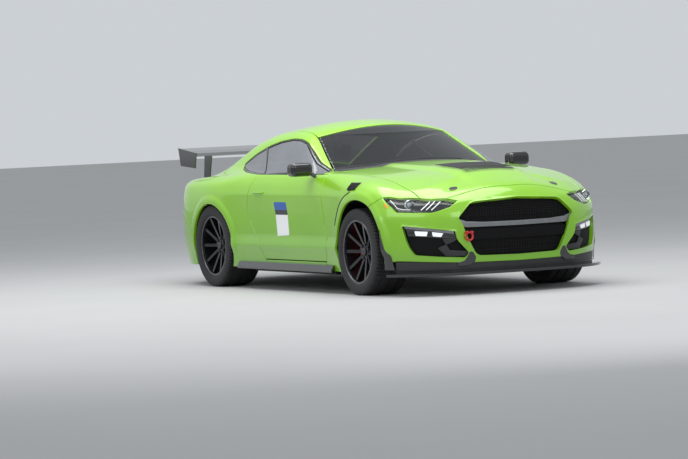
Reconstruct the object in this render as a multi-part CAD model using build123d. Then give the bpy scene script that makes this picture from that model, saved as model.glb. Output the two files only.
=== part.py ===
from build123d import *
import math
import os

# A two-door drag racing coupe, in millimetres: X forward, Y to the car's left, Z up.
# The origin is on the ground, under the middle of the car.

# Driving dimensions
LENGTH = 4813.0
WHEELBASE = 2720.0
FRONT_OVERHANG = 950.0
HALF_WIDTH = 973.0            # over the wheel arch lips
ROOF_HEIGHT = 1375.0
FORM_BOTTOM = 178.0           # underside of the painted body

FRONT_TYRE_RADIUS = 345.5
REAR_TYRE_RADIUS = 348.5
FRONT_TYRE_WIDTH = 305.0
REAR_TYRE_WIDTH = 315.0
RIM_WIDTH = 282.0
BEAD_RADIUS = 256.0
FRONT_HALF_TRACK = 805.0
REAR_HALF_TRACK = 808.0
KINGPIN_Y = 720.0
STEER_LOCK = 35.0

ARCH_RADIUS = 402.0
ARCH_SHIFT = 44.0             # the front arch is centred ahead of the axle
ARCH_Z = 355.0
LINER_RADIUS = 468.0
LINER_SHIFT = 20.0
LINER_WALL = 4.0

PANEL_GAP = 6.0               # between a moving panel and its neighbour
SEAT_GAP = 0.3                # between a fixed piece and its seat
PIN_CLEARANCE = 0.08          # radial, at hinge pins and spindles
BODY_WALL = 40.0              # quarter panels, pillars and roof
SKIN_WALL = 24.0              # fenders and bumpers
LID_WALL = 34.0               # bonnet and boot lid
GLASS_WALL = 6.0

DOOR_INNER_Y = 775.0
POST_OUTER_Y = 742.0
POST_WALL = 40.0
DOOR_BOTTOM = 258.0
BELT_HEIGHT = 955.0
HINGE_Y = 820.0
HINGE_SETBACK = 715.5         # behind the front axle
HINGE_PIN_RADIUS = 8.0
HINGE_BARREL_RADIUS = 15.0
HINGE_HEIGHTS = (400.0, 800.0)
DOOR_OPENS = 65.0             # degrees

NOSE_X = LENGTH / 2
TAIL_X = -LENGTH / 2
FRONT_AXLE_X = NOSE_X - FRONT_OVERHANG
REAR_AXLE_X = FRONT_AXLE_X - WHEELBASE
HINGE_X = FRONT_AXLE_X - HINGE_SETBACK
HUGE = 4000.0


def fx(offset):
    """An X position measured forward from the front axle."""
    return FRONT_AXLE_X + offset


def rx(offset):
    """An X position measured forward from the rear axle."""
    return REAR_AXLE_X + offset


def tx(offset):
    """An X position measured forward from the tail."""
    return TAIL_X + offset


# Lower body: plan outlines at heights that follow the real creases.
# z, nose setback, corner setback, corner y, then insets from HALF_WIDTH at: bumper side,
# front axle, door front, door middle, door rear, rear axle, behind the rear axle,
# then tail corner setback, tail corner y, tail setback
OUTLINES = (
    (178.0, 21.0, 76.0, 522.0, 38.0, 18.0, 46.0, 48.0, 46.0, 18.0, 43.0, 134.0, 620.0, 74.0),
    (300.0, 12.0, 66.0, 526.0, 28.0, 8.0, 38.0, 41.0, 38.0, 8.0, 33.0, 86.0, 650.0, 17.0),
    (370.0, 10.0, 61.0, 530.0, 23.0, 3.0, 22.0, 21.0, 22.0, 3.0, 28.0, 66.0, 660.0, 7.0),
    (445.0, 6.0, 56.0, 530.0, 23.0, 0.0, 45.0, 47.0, 45.0, 0.0, 23.0, 62.0, 660.0, 0.0),
    (600.0, 0.0, 54.0, 520.0, 23.0, 0.0, 46.0, 48.0, 44.0, 0.0, 18.0, 70.0, 665.0, 6.0),
    (720.0, 14.0, 90.0, 500.0, 48.0, 1.0, 40.0, 38.0, 36.0, 0.0, 23.0, 86.0, 665.0, 20.0),
    (790.0, 60.0, 170.0, 480.0, 73.0, 8.0, 32.0, 30.0, 28.0, 5.0, 33.0, 96.0, 660.0, 30.0),
    (870.0, 155.0, 285.0, 460.0, 113.0, 38.0, 58.0, 55.0, 50.0, 28.0, 58.0, 106.0, 650.0, 36.0),
    (945.0, 305.0, 455.0, 430.0, 173.0, 93.0, 93.0, 93.0, 90.0, 73.0, 103.0, 126.0, 630.0, 46.0),
    (1010.0, 460.0, 610.0, 400.0, 253.0, 173.0, 133.0, 131.0, 130.0, 130.0, 175.0, 146.0, 600.0, 56.0),
)
BUMPER_SIDE = 430.0           # ahead of the front axle
DOOR_FRONT = 610.0            # behind the front axle
DOOR_REAR = 660.0             # ahead of the rear axle
REAR_SIDE = 480.0             # behind the rear axle
NOSE_BULGE = 0.10             # corner arcs, as shares of their chords
TAIL_BULGE = 0.085

# Top crown: x from the axle it is tied to, height on the centre line, drop at CROWN_EDGE
CROWN_EDGE = 800.0
FRONT_CROWN = ((1050.0, 850.0, 190.0), (713.5, 890.0, 150.0), (543.5, 935.0, 140.0),
               (293.5, 965.0, 93.0), (-6.5, 985.0, 62.0), (-656.5, 1012.0, 45.0))
REAR_CROWN = ((463.5, 1030.0, 57.0), (63.5, 1020.0, 70.0), (-336.5, 988.0, 58.0),
              (-636.5, 966.0, 60.0), (-1036.5, 928.0, 56.0), (-1250.0, 900.0, 60.0))

# Cabin: heights, then for the side face the rear corner (x from the rear axle, y)
CABIN_LEVELS = ((900.0, -680.0, 668.0), (965.0, -440.0, 664.0), (1040.0, -180.0, 658.0),
                (1110.0, -6.0, 650.0), (1200.0, 263.0, 640.0), (1300.0, 563.0, 598.0),
                (1390.0, 800.0, 550.0))
SCREEN_BASE = 965.0           # height where the lines below start
SCREEN_CENTRE = (-506.5, -2.0)        # x from the front axle at the base, change with height
SCREEN_CORNER = (-796.5, -1.93, 730.0, -0.52)
PILLAR_EDGE = (-668.0, -2.8)
SIDE_FACE = (865.0, -0.717)
# Roof: x from the front axle, height below the roof's peak, drop at ROOF_EDGE
ROOF_EDGE = 600.0
ROOF = ((-456.5, 245.0, 85.0), (-856.5, 105.0, 85.0), (-1264.5, 37.6, 85.0), (-1656.5, 0.0, 80.0),
        (-2006.5, 23.0, 70.0), (-2356.5, 92.0, 60.0), (-2706.5, 207.0, 55.0), (-3006.5, 313.0, 55.0),
        (-3456.5, 484.0, 50.0))


def bulge_point(a, b, share):
    """The middle of a shallow arc from a to b, off its chord by a share of its length."""
    mid = (a + b) * 0.5
    across = Vector(b.Y - a.Y, a.X - b.X, 0)
    return mid + across * share


def bow(a, m, b):
    """The arc from a through m to b, or the straight line where m lies on it."""
    off = (m - a).cross(b - a).length / (b - a).length
    return Line(a, b) if off < 0.01 else ThreePointArc(a, m, b)


def flip(v):
    return Vector(v.X, -v.Y, v.Z)


def outline_wire(row, inset, z=None):
    """One plan outline of the lower body, drawn in by inset all round."""
    (level, nose, corner, corner_y, i_side, i_front, i_door_f, i_door_m, i_door_r, i_rear,
     i_back, tail_corner, tail_y, tail) = row
    h = level if z is None else z
    w = HALF_WIDTH - inset
    n = Vector(NOSE_X - nose - inset, 0, h)
    c = Vector(NOSE_X - corner - inset, corner_y - inset * 0.6, h)
    s = Vector(fx(BUMPER_SIDE), w - i_side, h)
    f = Vector(fx(0), w - i_front, h)
    d = Vector(fx(-DOOR_FRONT), w - i_door_f, h)
    m = Vector((fx(-DOOR_FRONT) + rx(DOOR_REAR)) / 2, w - i_door_m, h)
    e = Vector(rx(DOOR_REAR), w - i_door_r, h)
    r = Vector(rx(0), w - i_rear, h)
    q = Vector(rx(-REAR_SIDE), w - i_back, h)
    t = Vector(TAIL_X + tail_corner + inset, tail_y - inset * 0.6, h)
    x = Vector(TAIL_X + tail + inset, 0, h)
    cs = bulge_point(c, s, NOSE_BULGE)
    qt = bulge_point(q, t, TAIL_BULGE)
    left = [bow(c, cs, s), bow(s, f, d), bow(d, m, e),
            bow(e, r, q), bow(q, qt, t)]
    right = [bow(flip(t), flip(qt), flip(q)), bow(flip(q), flip(r), flip(e)),
             bow(flip(e), flip(m), flip(d)), bow(flip(d), flip(f), flip(s)),
             bow(flip(s), flip(cs), flip(c))]
    return Wire(left + [bow(t, x, flip(t))] + right + [bow(flip(c), n, c)])


def crown_wire(x, height, drop, edge, half=1100.0, floor=0.0):
    """A cross section at x: flat below, an arc on top that falls by drop at y = edge."""
    side = height - drop * (half / edge) ** 2
    a = Vector(x, half, side)
    b = Vector(x, -half, side)
    return Wire([Line((x, -half, floor), (x, half, floor)), Line((x, half, floor), a),
                 bow(a, Vector(x, 0, height), b), Line(b, (x, -half, floor))])


def lower_form(inset=0.0, drop=None):
    """The painted lower body as one solid; inset makes the inside of its walls."""
    down = inset if drop is None else drop
    wires = [outline_wire(row, inset) for row in OUTLINES]
    if inset > 0:
        wires.insert(0, outline_wire(OUTLINES[0], inset, FORM_BOTTOM - 100.0))
    stations = [crown_wire(fx(x), z - down, d, CROWN_EDGE) for x, z, d in FRONT_CROWN]
    stations += [crown_wire(rx(x), z - down, d, CROWN_EDGE) for x, z, d in REAR_CROWN]
    return Solid.make_loft(wires, True) & Solid.make_loft(stations, True)


def cabin_lines(z, inset):
    """Plan points of the cabin at one height: screen centre, corner, pillar edge, side."""
    up = z - SCREEN_BASE
    n = Vector(fx(SCREEN_CENTRE[0] + SCREEN_CENTRE[1] * up) - inset, 0, z)
    c = Vector(fx(SCREEN_CORNER[0] + SCREEN_CORNER[1] * up) - inset,
               SCREEN_CORNER[2] + SCREEN_CORNER[3] * up - inset * 0.4, z)
    s = Vector(fx(PILLAR_EDGE[0] + PILLAR_EDGE[1] * up) - inset,
               SIDE_FACE[0] + SIDE_FACE[1] * up - inset, z)
    return n, c, s


def cabin_wire(level, inset):
    z, rear_x, rear_y = level
    n, c, s = cabin_lines(z, inset)
    r = Vector(rx(rear_x) + inset, rear_y - inset, z)
    m = Vector((2 * s.X + r.X) / 3, s.Y - 1.0, z)
    back = Vector(rx(rear_x) - 260.0 + inset, 0, z)
    return Wire([Line(c, s), bow(s, m, r), bow(r, back, flip(r)),
                 bow(flip(r), flip(m), flip(s)), Line(flip(s), flip(c)),
                 bow(flip(c), n, c)])


def roof_form(down=0.0):
    """Everything below the roof's crown, lowered by down."""
    return Solid.make_loft([crown_wire(fx(x), ROOF_HEIGHT - z - down, d, ROOF_EDGE, 1000.0)
                            for x, z, d in ROOF], True)


def cabin_form(inset=0.0):
    """The cabin above the belt as one solid; inset makes the inside of its walls."""
    return Solid.make_loft([cabin_wire(level, inset) for level in CABIN_LEVELS], True) & roof_form(inset)


def block(x0, x1, y0, y1, z0, z1):
    """A box between six planes."""
    box = Solid.make_box(abs(x1 - x0), abs(y1 - y0), abs(z1 - z0))
    return Pos(min(x0, x1), min(y0, y1), min(z0, z1)) * box


def side_prism(points, y0, y1):
    """A side-view outline (x, z) carried across from y0 to y1."""
    face = Face(Wire.make_polygon([(x, y0, z) for x, z in points]))
    return Solid.extrude(face, Vector(0, y1 - y0, 0))


def plan_prism(points, z0, z1):
    """A plan outline (x, y) carried up from z0 to z1."""
    face = Face(Wire.make_polygon([(x, y, z0) for x, y in points]))
    return Solid.extrude(face, Vector(0, 0, z1 - z0))


def rod(p, q, radius):
    """A round bar from p to q."""
    p, q = Vector(*p), Vector(*q)
    return Solid.make_cylinder(radius, (q - p).length, Plane(origin=p, z_dir=(q - p)))


def mirrored(shape):
    return mirror(shape, about=Plane.XZ)


def solids_of(shape):
    return list(shape.solids())


def save(name, *shapes):
    """Write one node; shapes that don't touch stay separate solids in it."""
    solids = [s for shape in shapes for s in solids_of(shape)]
    whole = solids[0] if len(solids) == 1 else Compound(children=solids)
    whole.label = name
    export_step(whole, f"parts/{name}.step")


# Panel lines
# Bonnet's left edge, x from the front axle and y; its first two points are the corner at the lamp
BONNET_SIDE = ((798.5, 556.0), (660.5, 715.0), (493.5, 728.0), (143.5, 742.0), (-256.5, 748.0),
               (-656.5, 735.0))
BONNET_CORNER = 2
BONNET_NOSE = 96.0            # behind the nose, on the centre line
BONNET_LOW = 748.0
BONNET_REAR = -501.5          # from the front axle, on the centre line
BONNET_GAP = 14.0             # behind the rear edge, which swings back
BONNET_HINGE = (-606.5, 957.0, 600.0)   # x from the front axle, z, y of the hinges
COWL_WALL = 20.0
COWL_GAP = 17.6               # beside the bonnet, and in proportion behind it
COWL_HALF = 680.0
BUMPER_LINE = ((243.5, 0.0), (243.5, 700.0), (388.5, 776.0))   # front bumper, from the front axle
LAMP_LINE = ((388.5, 776.0), (496.5, 711.0), (559.5, 662.0), (722.5, 655.0), (806.5, 662.0),
             (880.0, 700.0), (848.5, 744.0), (725.5, 760.0), (533.5, 772.0))
LAMP_INNER_Y = 489.0
LAMP_DEPTH = 70.0
GRILLE_MOUTH = ((400.0, 724.0), (505.0, 600.0), (486.0, 535.0), (425.0, 450.0), (388.0, 291.0))
GRILLE_CROWN = 741.0
GRILLE_RECESS = 45.0
GRILLE_WALL = 12.0
GRILLE_BAR = (512.0, 543.0)

# Door's front edge: height, x from the front axle; its back edge: x from the rear axle, height
DOOR_LINE = ((258.0, -588.5), (423.0, -552.5), (534.0, -620.5), (955.0, -657.5))
DOOR_BACK = ((783.5, 955.0), (663.5, 692.0), (668.0, 610.0), (933.5, 329.0), (985.0, 258.0))
ROCKER_TOP = DOOR_BOTTOM - PANEL_GAP
DOOR_GLASS = ((-757.0, 950.0), (-1426.5, 1226.0), (-1576.5, 1239.0), (-1756.5, 1236.0),
              (-1916.5, 1215.0), (-2156.5, 1163.0), (-1930.0, 950.0))
QUARTER_GLASS = ((753.5, 966.0), (533.5, 1150.0), (263.5, 1018.0), (368.5, 970.0))
REAR_GLASS = ((322.0, 490.0), (-366.5, 552.0))
SCREEN_MARGIN = 18.0
HEADER = 26.0

REAR_ARCH_RADIUS = 385.0
REAR_ARCH_Z = 320.0
REAR_LINER_RADIUS = 392.0
REAR_LINER_Z = 328.0
REAR_BUMPER_LINE = ((-376.5, 0.0), (-376.5, 500.0), (-560.0, 600.0), (-836.5, 665.0))
LID_FRONT = -496.5            # from the rear axle
LID_HALF = 585.0
LID_FACE_HALF = 486.0
LID_FACE_TOP = 838.0
LID_FACE_LOW = 668.0
LID_FRONT_GAP = 18.0          # the lid's front edge swings down beside the deck
LID_HINGE = (-520.0, 950.0, 300.0)
TAIL_LAMP = (492.0, 800.0, 668.0, 832.0)


def both(shape):
    """A left-hand solid and its mirror image."""
    return [shape, mirrored(shape)]


def side_points(points, datum):
    return [(datum(x), z) for x, z in points]


def form_half_width(z):
    """Outer Y of the door skin at a height, read from the plan outlines."""
    rows = [(row[0], HALF_WIDTH - row[6]) for row in OUTLINES]
    for (z0, y0), (z1, y1) in zip(rows, rows[1:]):
        if z0 <= z <= z1:
            return y0 + (y1 - y0) * (z - z0) / (z1 - z0)
    return rows[0][1] if z < rows[0][0] else rows[-1][1]


def door_line_x(z):
    """X of the door's front edge at a height."""
    for (z0, x0), (z1, x1) in zip(DOOR_LINE, DOOR_LINE[1:]):
        if z <= z1:
            return fx(x0 + (x1 - x0) * (z - z0) / (z1 - z0))
    return fx(DOOR_LINE[-1][1])


def door_turn(gap, z_low, z_high):
    """What the door's front edge sweeps about its hinge: radius by height, plus gap."""
    low, high = DOOR_LINE[0][0], DOOR_LINE[-1][0]
    heights = sorted({z for z, x in DOOR_LINE} | {row[0] for row in OUTLINES if low < row[0] < high})
    rows = [(z, math.hypot(door_line_x(z) - HINGE_X, form_half_width(z) - HINGE_Y) + gap)
            for z in heights]
    rows[0] = (z_low, rows[0][1])
    rows[-1] = (z_high, rows[-1][1])
    points = [(0, 0, z_low)] + [(r, 0, z) for z, r in rows] + [(0, 0, z_high)]
    profile = Face(Wire.make_polygon(points))
    turned = Solid.revolve(profile, 360, Axis((0, 0, 0), (0, 0, 1)))
    return Pos(HINGE_X, HINGE_Y, 0) * turned


def bonnet_plan(gap, z0, z1):
    """The bonnet's outline in plan, grown by gap."""
    side = [Vector(fx(x) + (gap if k < BONNET_CORNER else 0), y + gap, z0)
            for k, (x, y) in enumerate(BONNET_SIDE)]
    side[-1] = side[-1] - Vector(gap * BONNET_GAP / PANEL_GAP, 0, 0)
    nose = Vector(NOSE_X - BONNET_NOSE + gap, 0, z0)
    rear = Vector(fx(BONNET_REAR) - gap * BONNET_GAP / PANEL_GAP, 0, z0)
    edges = [Line(a, b) for a, b in zip(side, side[1:])]
    edges += [bow(side[-1], rear, flip(side[-1]))]
    edges += [Line(flip(b), flip(a)) for a, b in reversed(list(zip(side, side[1:])))]
    edges += [bow(flip(side[0]), nose, side[0])]
    return Solid.extrude(Face(Wire(edges)), Vector(0, 0, z1 - z0))


def front_bumper_zone(grow):
    low = [(fx(x) - grow, z + (grow if z else 0)) for x, z in BUMPER_LINE]
    zone = side_prism(low + [(NOSE_X + 100, low[-1][1]), (NOSE_X + 100, 0)], -1200, 1200)
    y = LAMP_INNER_Y - SEAT_GAP + grow
    return zone + block(fx(700), NOSE_X + 100, -y, y, 600, 900)


def grown(points, by):
    """An outline that runs anticlockwise, with each edge moved outwards by one distance."""
    corners = []
    for before, here, after in zip(points[-1:] + points[:-1], points, points[1:] + points[:1]):
        first = Vector(here[1] - before[1], before[0] - here[0]).normalized()
        second = Vector(after[1] - here[1], here[0] - after[0]).normalized()
        corners.append(Vector(*here) + (first + second) * (by / (1 + first.dot(second))))
    return [(c.X, c.Y) for c in corners]


def lamp_zone(grow):
    """The left headlamp's window in the front corner."""
    return side_prism(grown(side_points(LAMP_LINE, fx), grow), LAMP_INNER_Y - grow, 1200)


def rear_bumper_zone(grow):
    pts = [(rx(x) + grow, z + (grow if z else 0)) for x, z in REAR_BUMPER_LINE]
    return side_prism(pts + [(TAIL_X - 100, pts[-1][1]), (TAIL_X - 100, 0)], -1200, 1200)


def lid_zone(gap):
    """The boot lid's outline: its top in plan, and its rear face between the lamps."""
    h, f = LID_HALF + gap, LID_FACE_HALF + gap
    front = rx(LID_FRONT) + gap * LID_FRONT_GAP / PANEL_GAP
    top = block(front, TAIL_X - 50, -h, h, LID_FACE_TOP - gap, 1100)
    face = block(rx(-900), TAIL_X - 50, -f, f, LID_FACE_LOW - gap, LID_FACE_TOP + 50)
    return top + face


def tail_lamp_zone(grow):
    y0, y1, z0, z1 = TAIL_LAMP
    return block(rx(-780), TAIL_X - 50, y0 - grow, y1 + grow, z0 - grow, z1 + grow)


def arch(x, z, radius, y0, y1):
    """A wheel arch cutter: a cylinder across the car."""
    return rod((x, y0, z), (x, y1, z), radius)


def grille_mouth(grow=0.0):
    """The grille's opening seen from ahead, carried along X."""
    right = [Vector(fx(700), -y - grow, z) for y, z in GRILLE_MOUTH]
    left = [flip(v) for v in right]
    top = Vector(fx(700), 0, GRILLE_CROWN + grow)
    edges = [bow(right[0], top, left[0])] + [Line(a, b) for a, b in zip(left, left[1:])]
    edges += [Line(left[-1], right[-1])] + [Line(b, a) for a, b in reversed(list(zip(right, right[1:])))]
    return Solid.extrude(Face(Wire(edges)), Vector(400, 0, 0))


def screen_slab(outside, inside, margin):
    """The windscreen's own face as a slab; margin draws in its side edges."""
    wires = []
    for z in (SCREEN_BASE - 30, ROOF_HEIGHT):
        n, c, s = cabin_lines(z, 0)
        edge = c - Vector(0, margin, 0)
        sag = (c.X - n.X) * (1 - (edge.Y / c.Y) ** 2)
        edge = Vector(c.X - sag, edge.Y, z)
        o, i = Vector(outside, 0, 0), Vector(-inside, 0, 0)
        wires.append(Wire([bow(flip(edge) + o, n + o, edge + o), Line(edge + o, edge + i),
                           bow(edge + i, n + i, flip(edge) + i), Line(flip(edge) + i, flip(edge) + o)]))
    return Solid.make_loft(wires, True)


os.makedirs("parts", exist_ok=True)

OUTER = lower_form()
SKIN_INNER = lower_form(SKIN_WALL)
WALL_INNER = lower_form(BODY_WALL)
LID_INNER = lower_form(LID_WALL)
CABIN = cabin_form()
CABIN_INNER = cabin_form(BODY_WALL)
CABIN_GLASS = cabin_form(GLASS_WALL)
SKIN = OUTER - SKIN_INNER
LID_SKIN = OUTER - LID_INNER

FRONT_ARCHES = both(arch(fx(ARCH_SHIFT), ARCH_Z, ARCH_RADIUS, 440, 1100))
REAR_ARCHES = both(arch(rx(0), REAR_ARCH_Z, REAR_ARCH_RADIUS, 560, 1100))
REAR_LINER_ROOM = both(arch(rx(0), REAR_LINER_Z, REAR_LINER_RADIUS + LINER_WALL + SEAT_GAP, 590, 1100))


def largest(shape):
    """The biggest solid of a cut, without the chips beside it."""
    return max(solids_of(shape), key=lambda s: s.volume)


# Body shell: roof, pillars, quarter panels and sills as one welded shell
FENDER_REAR = -588.0          # where the fender ends above the sill, from the front axle
SILL_FRONT = FENDER_REAR
SILL_REAR = 430.0             # from the rear axle
DECK_STRIP = -430.0           # front edge of the strip ahead of the boot lid, from the rear axle
BODY_FRONT = -661.5           # the pillar's foot
POST_DEPTH = 140.0            # the post's rear face, behind the pillar's foot
POST_FRONT = -460.0
FOOT_SETBACK = 78.0           # the pillar's foot ends here, behind the swinging door
POST_TOP = 900.0


def side_window(points, datum, grow):
    """A cutter or blank through the cabin's left side, seen square from the side."""
    pts = side_points(points, datum)
    cx = sum(x for x, z in pts) / len(pts)
    cz = sum(z for x, z in pts) / len(pts)
    grown = []
    for x, z in pts:
        r = math.hypot(x - cx, z - cz)
        grown.append((x + (x - cx) / r * grow, z + (z - cz) / r * grow))
    return side_prism(grown, 480, 1000)


def door_zone(gap):
    """The door's outline from the side, with its front edge turned about the hinge."""
    back = [(rx(x) - gap, z) for x, z in DOOR_BACK]
    back[-1] = (back[-1][0], DOOR_BOTTOM - gap)
    z_low, z_high = DOOR_BOTTOM - gap, BELT_HEIGHT + (gap if gap else 0)
    rest = side_prism(back + [(HINGE_X, z_low), (HINGE_X, z_high), (back[0][0], z_high)], 0, 1100)
    return rest + door_turn(gap, z_low, z_high)


ROOF_SEAM = 565.0             # half width of the roof panel
JACK_PAD = (720.0, 800.0, 120.0, 80.0, 32.0)     # x and y of its middle, length, width, height


def jack_pads():
    """Blocks under the sill's ends for a jack or stand, lower than the skirt beside them."""
    x, y, length, width, height = JACK_PAD
    return [block(s * x - length / 2, s * x + length / 2, y - width / 2, y + width / 2,
                  FORM_BOTTOM - height, FORM_BOTTOM + 1) for s in (1, -1)]


def body_shell():
    """Roof, deck and side panels as one form, before it is split."""
    shell = (OUTER + CABIN) - WALL_INNER - CABIN_INNER
    shell = shell & block(TAIL_X - 10, fx(BODY_FRONT), -1100, 1100, 0, 1500)
    shell = shell - block(rx(DECK_STRIP), fx(BODY_FRONT) + 1, -700, 700, 0, 985)
    shell = shell - block(fx(-860), 2000, -1100, 1100, 0, BELT_HEIGHT + PANEL_GAP)
    shell = shell - bonnet_plan(PANEL_GAP, 600, 1100)
    shell = shell - rear_bumper_zone(SEAT_GAP) - lid_zone(PANEL_GAP)
    outside = block(-3000, 3000, POST_OUTER_Y, 1100, 0, 1500)
    for cutter in both(door_zone(PANEL_GAP) & outside):
        shell = shell - cutter
    for cutter in REAR_ARCHES + both(tail_lamp_zone(SEAT_GAP)):
        shell = shell - cutter
    windows = side_window(DOOR_GLASS, fx, PANEL_GAP), side_window(QUARTER_GLASS, rx, SEAT_GAP)
    for cutter in both(windows[0]) + both(windows[1]):
        shell = shell - cutter
    shell = shell - (screen_slab(80, 90, SCREEN_MARGIN) & roof_form(HEADER))
    shell = shell - rear_glass_zone(SEAT_GAP)
    post_rear, post_inner = fx(BODY_FRONT - POST_DEPTH), POST_OUTER_Y - POST_WALL
    sill = OUTER & block(rx(SILL_REAR), fx(SILL_FRONT), post_inner, 1100, 0, ROCKER_TOP)
    post = block(post_rear, fx(POST_FRONT), post_inner, POST_OUTER_Y, FORM_BOTTOM, POST_TOP)
    foot = block(post_rear, fx(BODY_FRONT - FOOT_SETBACK), post_inner, POST_OUTER_Y, POST_TOP - 10, 1000)
    foot = (foot & (OUTER + CABIN)) - screen_slab(80, 90, SCREEN_MARGIN)
    for part in both(sill) + both(post) + both(foot):
        shell = shell + part
    for height in HINGE_HEIGHTS:
        for part in both(hinge_bracket(height)):
            shell = shell + part
    for part in lid_hinge_lugs(LID_HINGE, rx, rx(LID_FRONT) + 30, LID_HINGE[1] - 40):
        shell = shell + part
    for pad in jack_pads():
        for part in both(pad):
            shell = shell + part
    return largest(shell)


def shell_panels(shell):
    """The shell split where its panels meet: roof, deck, and the two sides."""
    (glass_top, glass_half), (glass_foot, _) = REAR_GLASS
    top, foot, lid_half = rx(glass_top) + SEAT_GAP, rx(glass_foot), LID_HALF + PANEL_GAP
    roof = shell & block(top, 2000, -ROOF_SEAM, ROOF_SEAM, 980, 1500)
    deck = shell & block(foot, -3000, -lid_half, lid_half, 600, 1500)
    side = shell & (block(-3000, 2000, ROOF_SEAM + SEAT_GAP, 1100, 0, 1500)
                    + block(-3000, top - SEAT_GAP, glass_half - 10, ROOF_SEAM + 1, 600, 1500))
    side = side - block(foot + SEAT_GAP, -3000, 0, lid_half + SEAT_GAP, 600, 1500)
    return largest(roof), largest(deck), largest(side)


HINGE_BARREL = 60.0
HINGE_LUG = 10.0
HINGE_END_GAP = 0.5


def hinge_bracket(height):
    """Two lugs from the post and the pin between them, at a door hinge."""
    half = HINGE_BARREL / 2 + HINGE_END_GAP
    lugs = [block(HINGE_X - 13, HINGE_X + 13, POST_OUTER_Y - 5, HINGE_Y + 13, z, z + HINGE_LUG)
            for z in (height - half - HINGE_LUG, height + half)]
    pin = rod((HINGE_X, HINGE_Y, height - half - 5), (HINGE_X, HINGE_Y, height + half + 5), HINGE_PIN_RADIUS)
    return lugs[0] + pin + lugs[1]


def rear_glass_zone(grow):
    (x0, y0), (x1, y1) = REAR_GLASS
    a, b = rx(x0) + grow, rx(x1) - grow
    return plan_prism([(a, -y0 - grow), (a, y0 + grow), (b, y1 + grow), (b, -y1 - grow)], 950, 1400)


def door():
    """The left door: a full-depth panel, thin ahead of its hinge."""
    panel = OUTER & door_zone(0) & block(-3000, 3000, DOOR_INNER_Y, 1100, 0, BELT_HEIGHT)
    reach = HINGE_X - 30
    panel = panel - (SKIN_INNER & block(reach, 2000, 0, 1100, 0, 1200))
    panel = largest(panel)
    for height in HINGE_HEIGHTS:
        low, high = height - HINGE_BARREL / 2, height + HINGE_BARREL / 2
        arm = block(reach - 5, HINGE_X, HINGE_Y - 12, HINGE_Y + 12, low, high)
        barrel = rod((HINGE_X, HINGE_Y, low), (HINGE_X, HINGE_Y, high), HINGE_BARREL_RADIUS)
        panel = panel + arm + barrel
    bore = rod((HINGE_X, HINGE_Y, DOOR_BOTTOM + 20), (HINGE_X, HINGE_Y, BELT_HEIGHT - 60),
               HINGE_PIN_RADIUS + PIN_CLEARANCE)
    return largest(panel - bore - post_when_open())


def post_when_open():
    """The body's post and its clearance, as they stand to the open door."""
    post = block(HINGE_X + HINGE_BARREL_RADIUS + 5, fx(POST_FRONT), 0, POST_OUTER_Y + PANEL_GAP, 0, 1100)
    at_hinge = Pos(HINGE_X, HINGE_Y, 0)
    return at_hinge * Rot(0, 0, DOOR_OPENS) * Pos(-HINGE_X, -HINGE_Y, 0) * post


def fender():
    """The left front fender: skin between bonnet, bumper, lamp, arch and door."""
    skin = SKIN & block(fx(FENDER_REAR) + SEAT_GAP, fx(850), 560, 1100, 0, 1100)
    pillar = block(0, fx(BODY_FRONT) + SEAT_GAP, 0, 1100, 0, 1100)
    upper = SKIN & block(fx(BODY_FRONT) + SEAT_GAP, fx(FENDER_REAR) + 1, 560, 1100, ROCKER_TOP, 1100)
    pillar = pillar + block(0, fx(BODY_FRONT) + 45, 0, COWL_HALF + SEAT_GAP, 0, 1100)
    skin = skin + upper - pillar - bonnet_plan(PANEL_GAP, 600, 1100) - front_bumper_zone(SEAT_GAP)
    skin = skin - lamp_zone(SEAT_GAP) - FRONT_ARCHES[0]
    turn = door_turn(PANEL_GAP, DOOR_BOTTOM - PANEL_GAP, BELT_HEIGHT + PANEL_GAP)
    return largest(skin - (turn & block(-3000, 3000, POST_OUTER_Y, 1100, 0, 1200)))


def front_bumper():
    skin = (SKIN & front_bumper_zone(0)) - bonnet_plan(PANEL_GAP, 600, 1100) - grille_mouth()
    for cutter in both(lamp_zone(SEAT_GAP)) + FRONT_ARCHES:
        skin = skin - cutter
    return largest(skin)


def headlamp():
    """The left headlamp: one deep unit behind a clear face that follows the fender."""
    return largest((OUTER - lower_form(LAMP_DEPTH)) & lamp_zone(0) - bonnet_plan(PANEL_GAP, 600, 1100))


HOOK = (24.0, -436.0, 458.0)          # behind the nose, y, z of its loop
HOOK_LOOP = 32.0
HOOK_ROD = 9.0
CROSSMEMBER = 660.0           # front face of the crossmember, from the front axle


def grille():
    """A curved mesh panel set back in the mouth, with the bar across it."""
    panel = (lower_form(GRILLE_RECESS) - lower_form(GRILLE_RECESS + GRILLE_WALL)) & grille_mouth(14)
    bar = (lower_form(GRILLE_RECESS / 3) - lower_form(GRILLE_RECESS + 2)) & grille_mouth(-SEAT_GAP)
    bar = bar & block(0, NOSE_X, -600, 600, *GRILLE_BAR)
    return largest(panel + bar - hook_bolt(SEAT_GAP))


SPLITTER_DEPTH = 22.0
SPLITTER_REAR = 520.0         # its rear ends, from the front axle
SPLITTER_LIP = 16.0           # how far it stands out under the bumper


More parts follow.
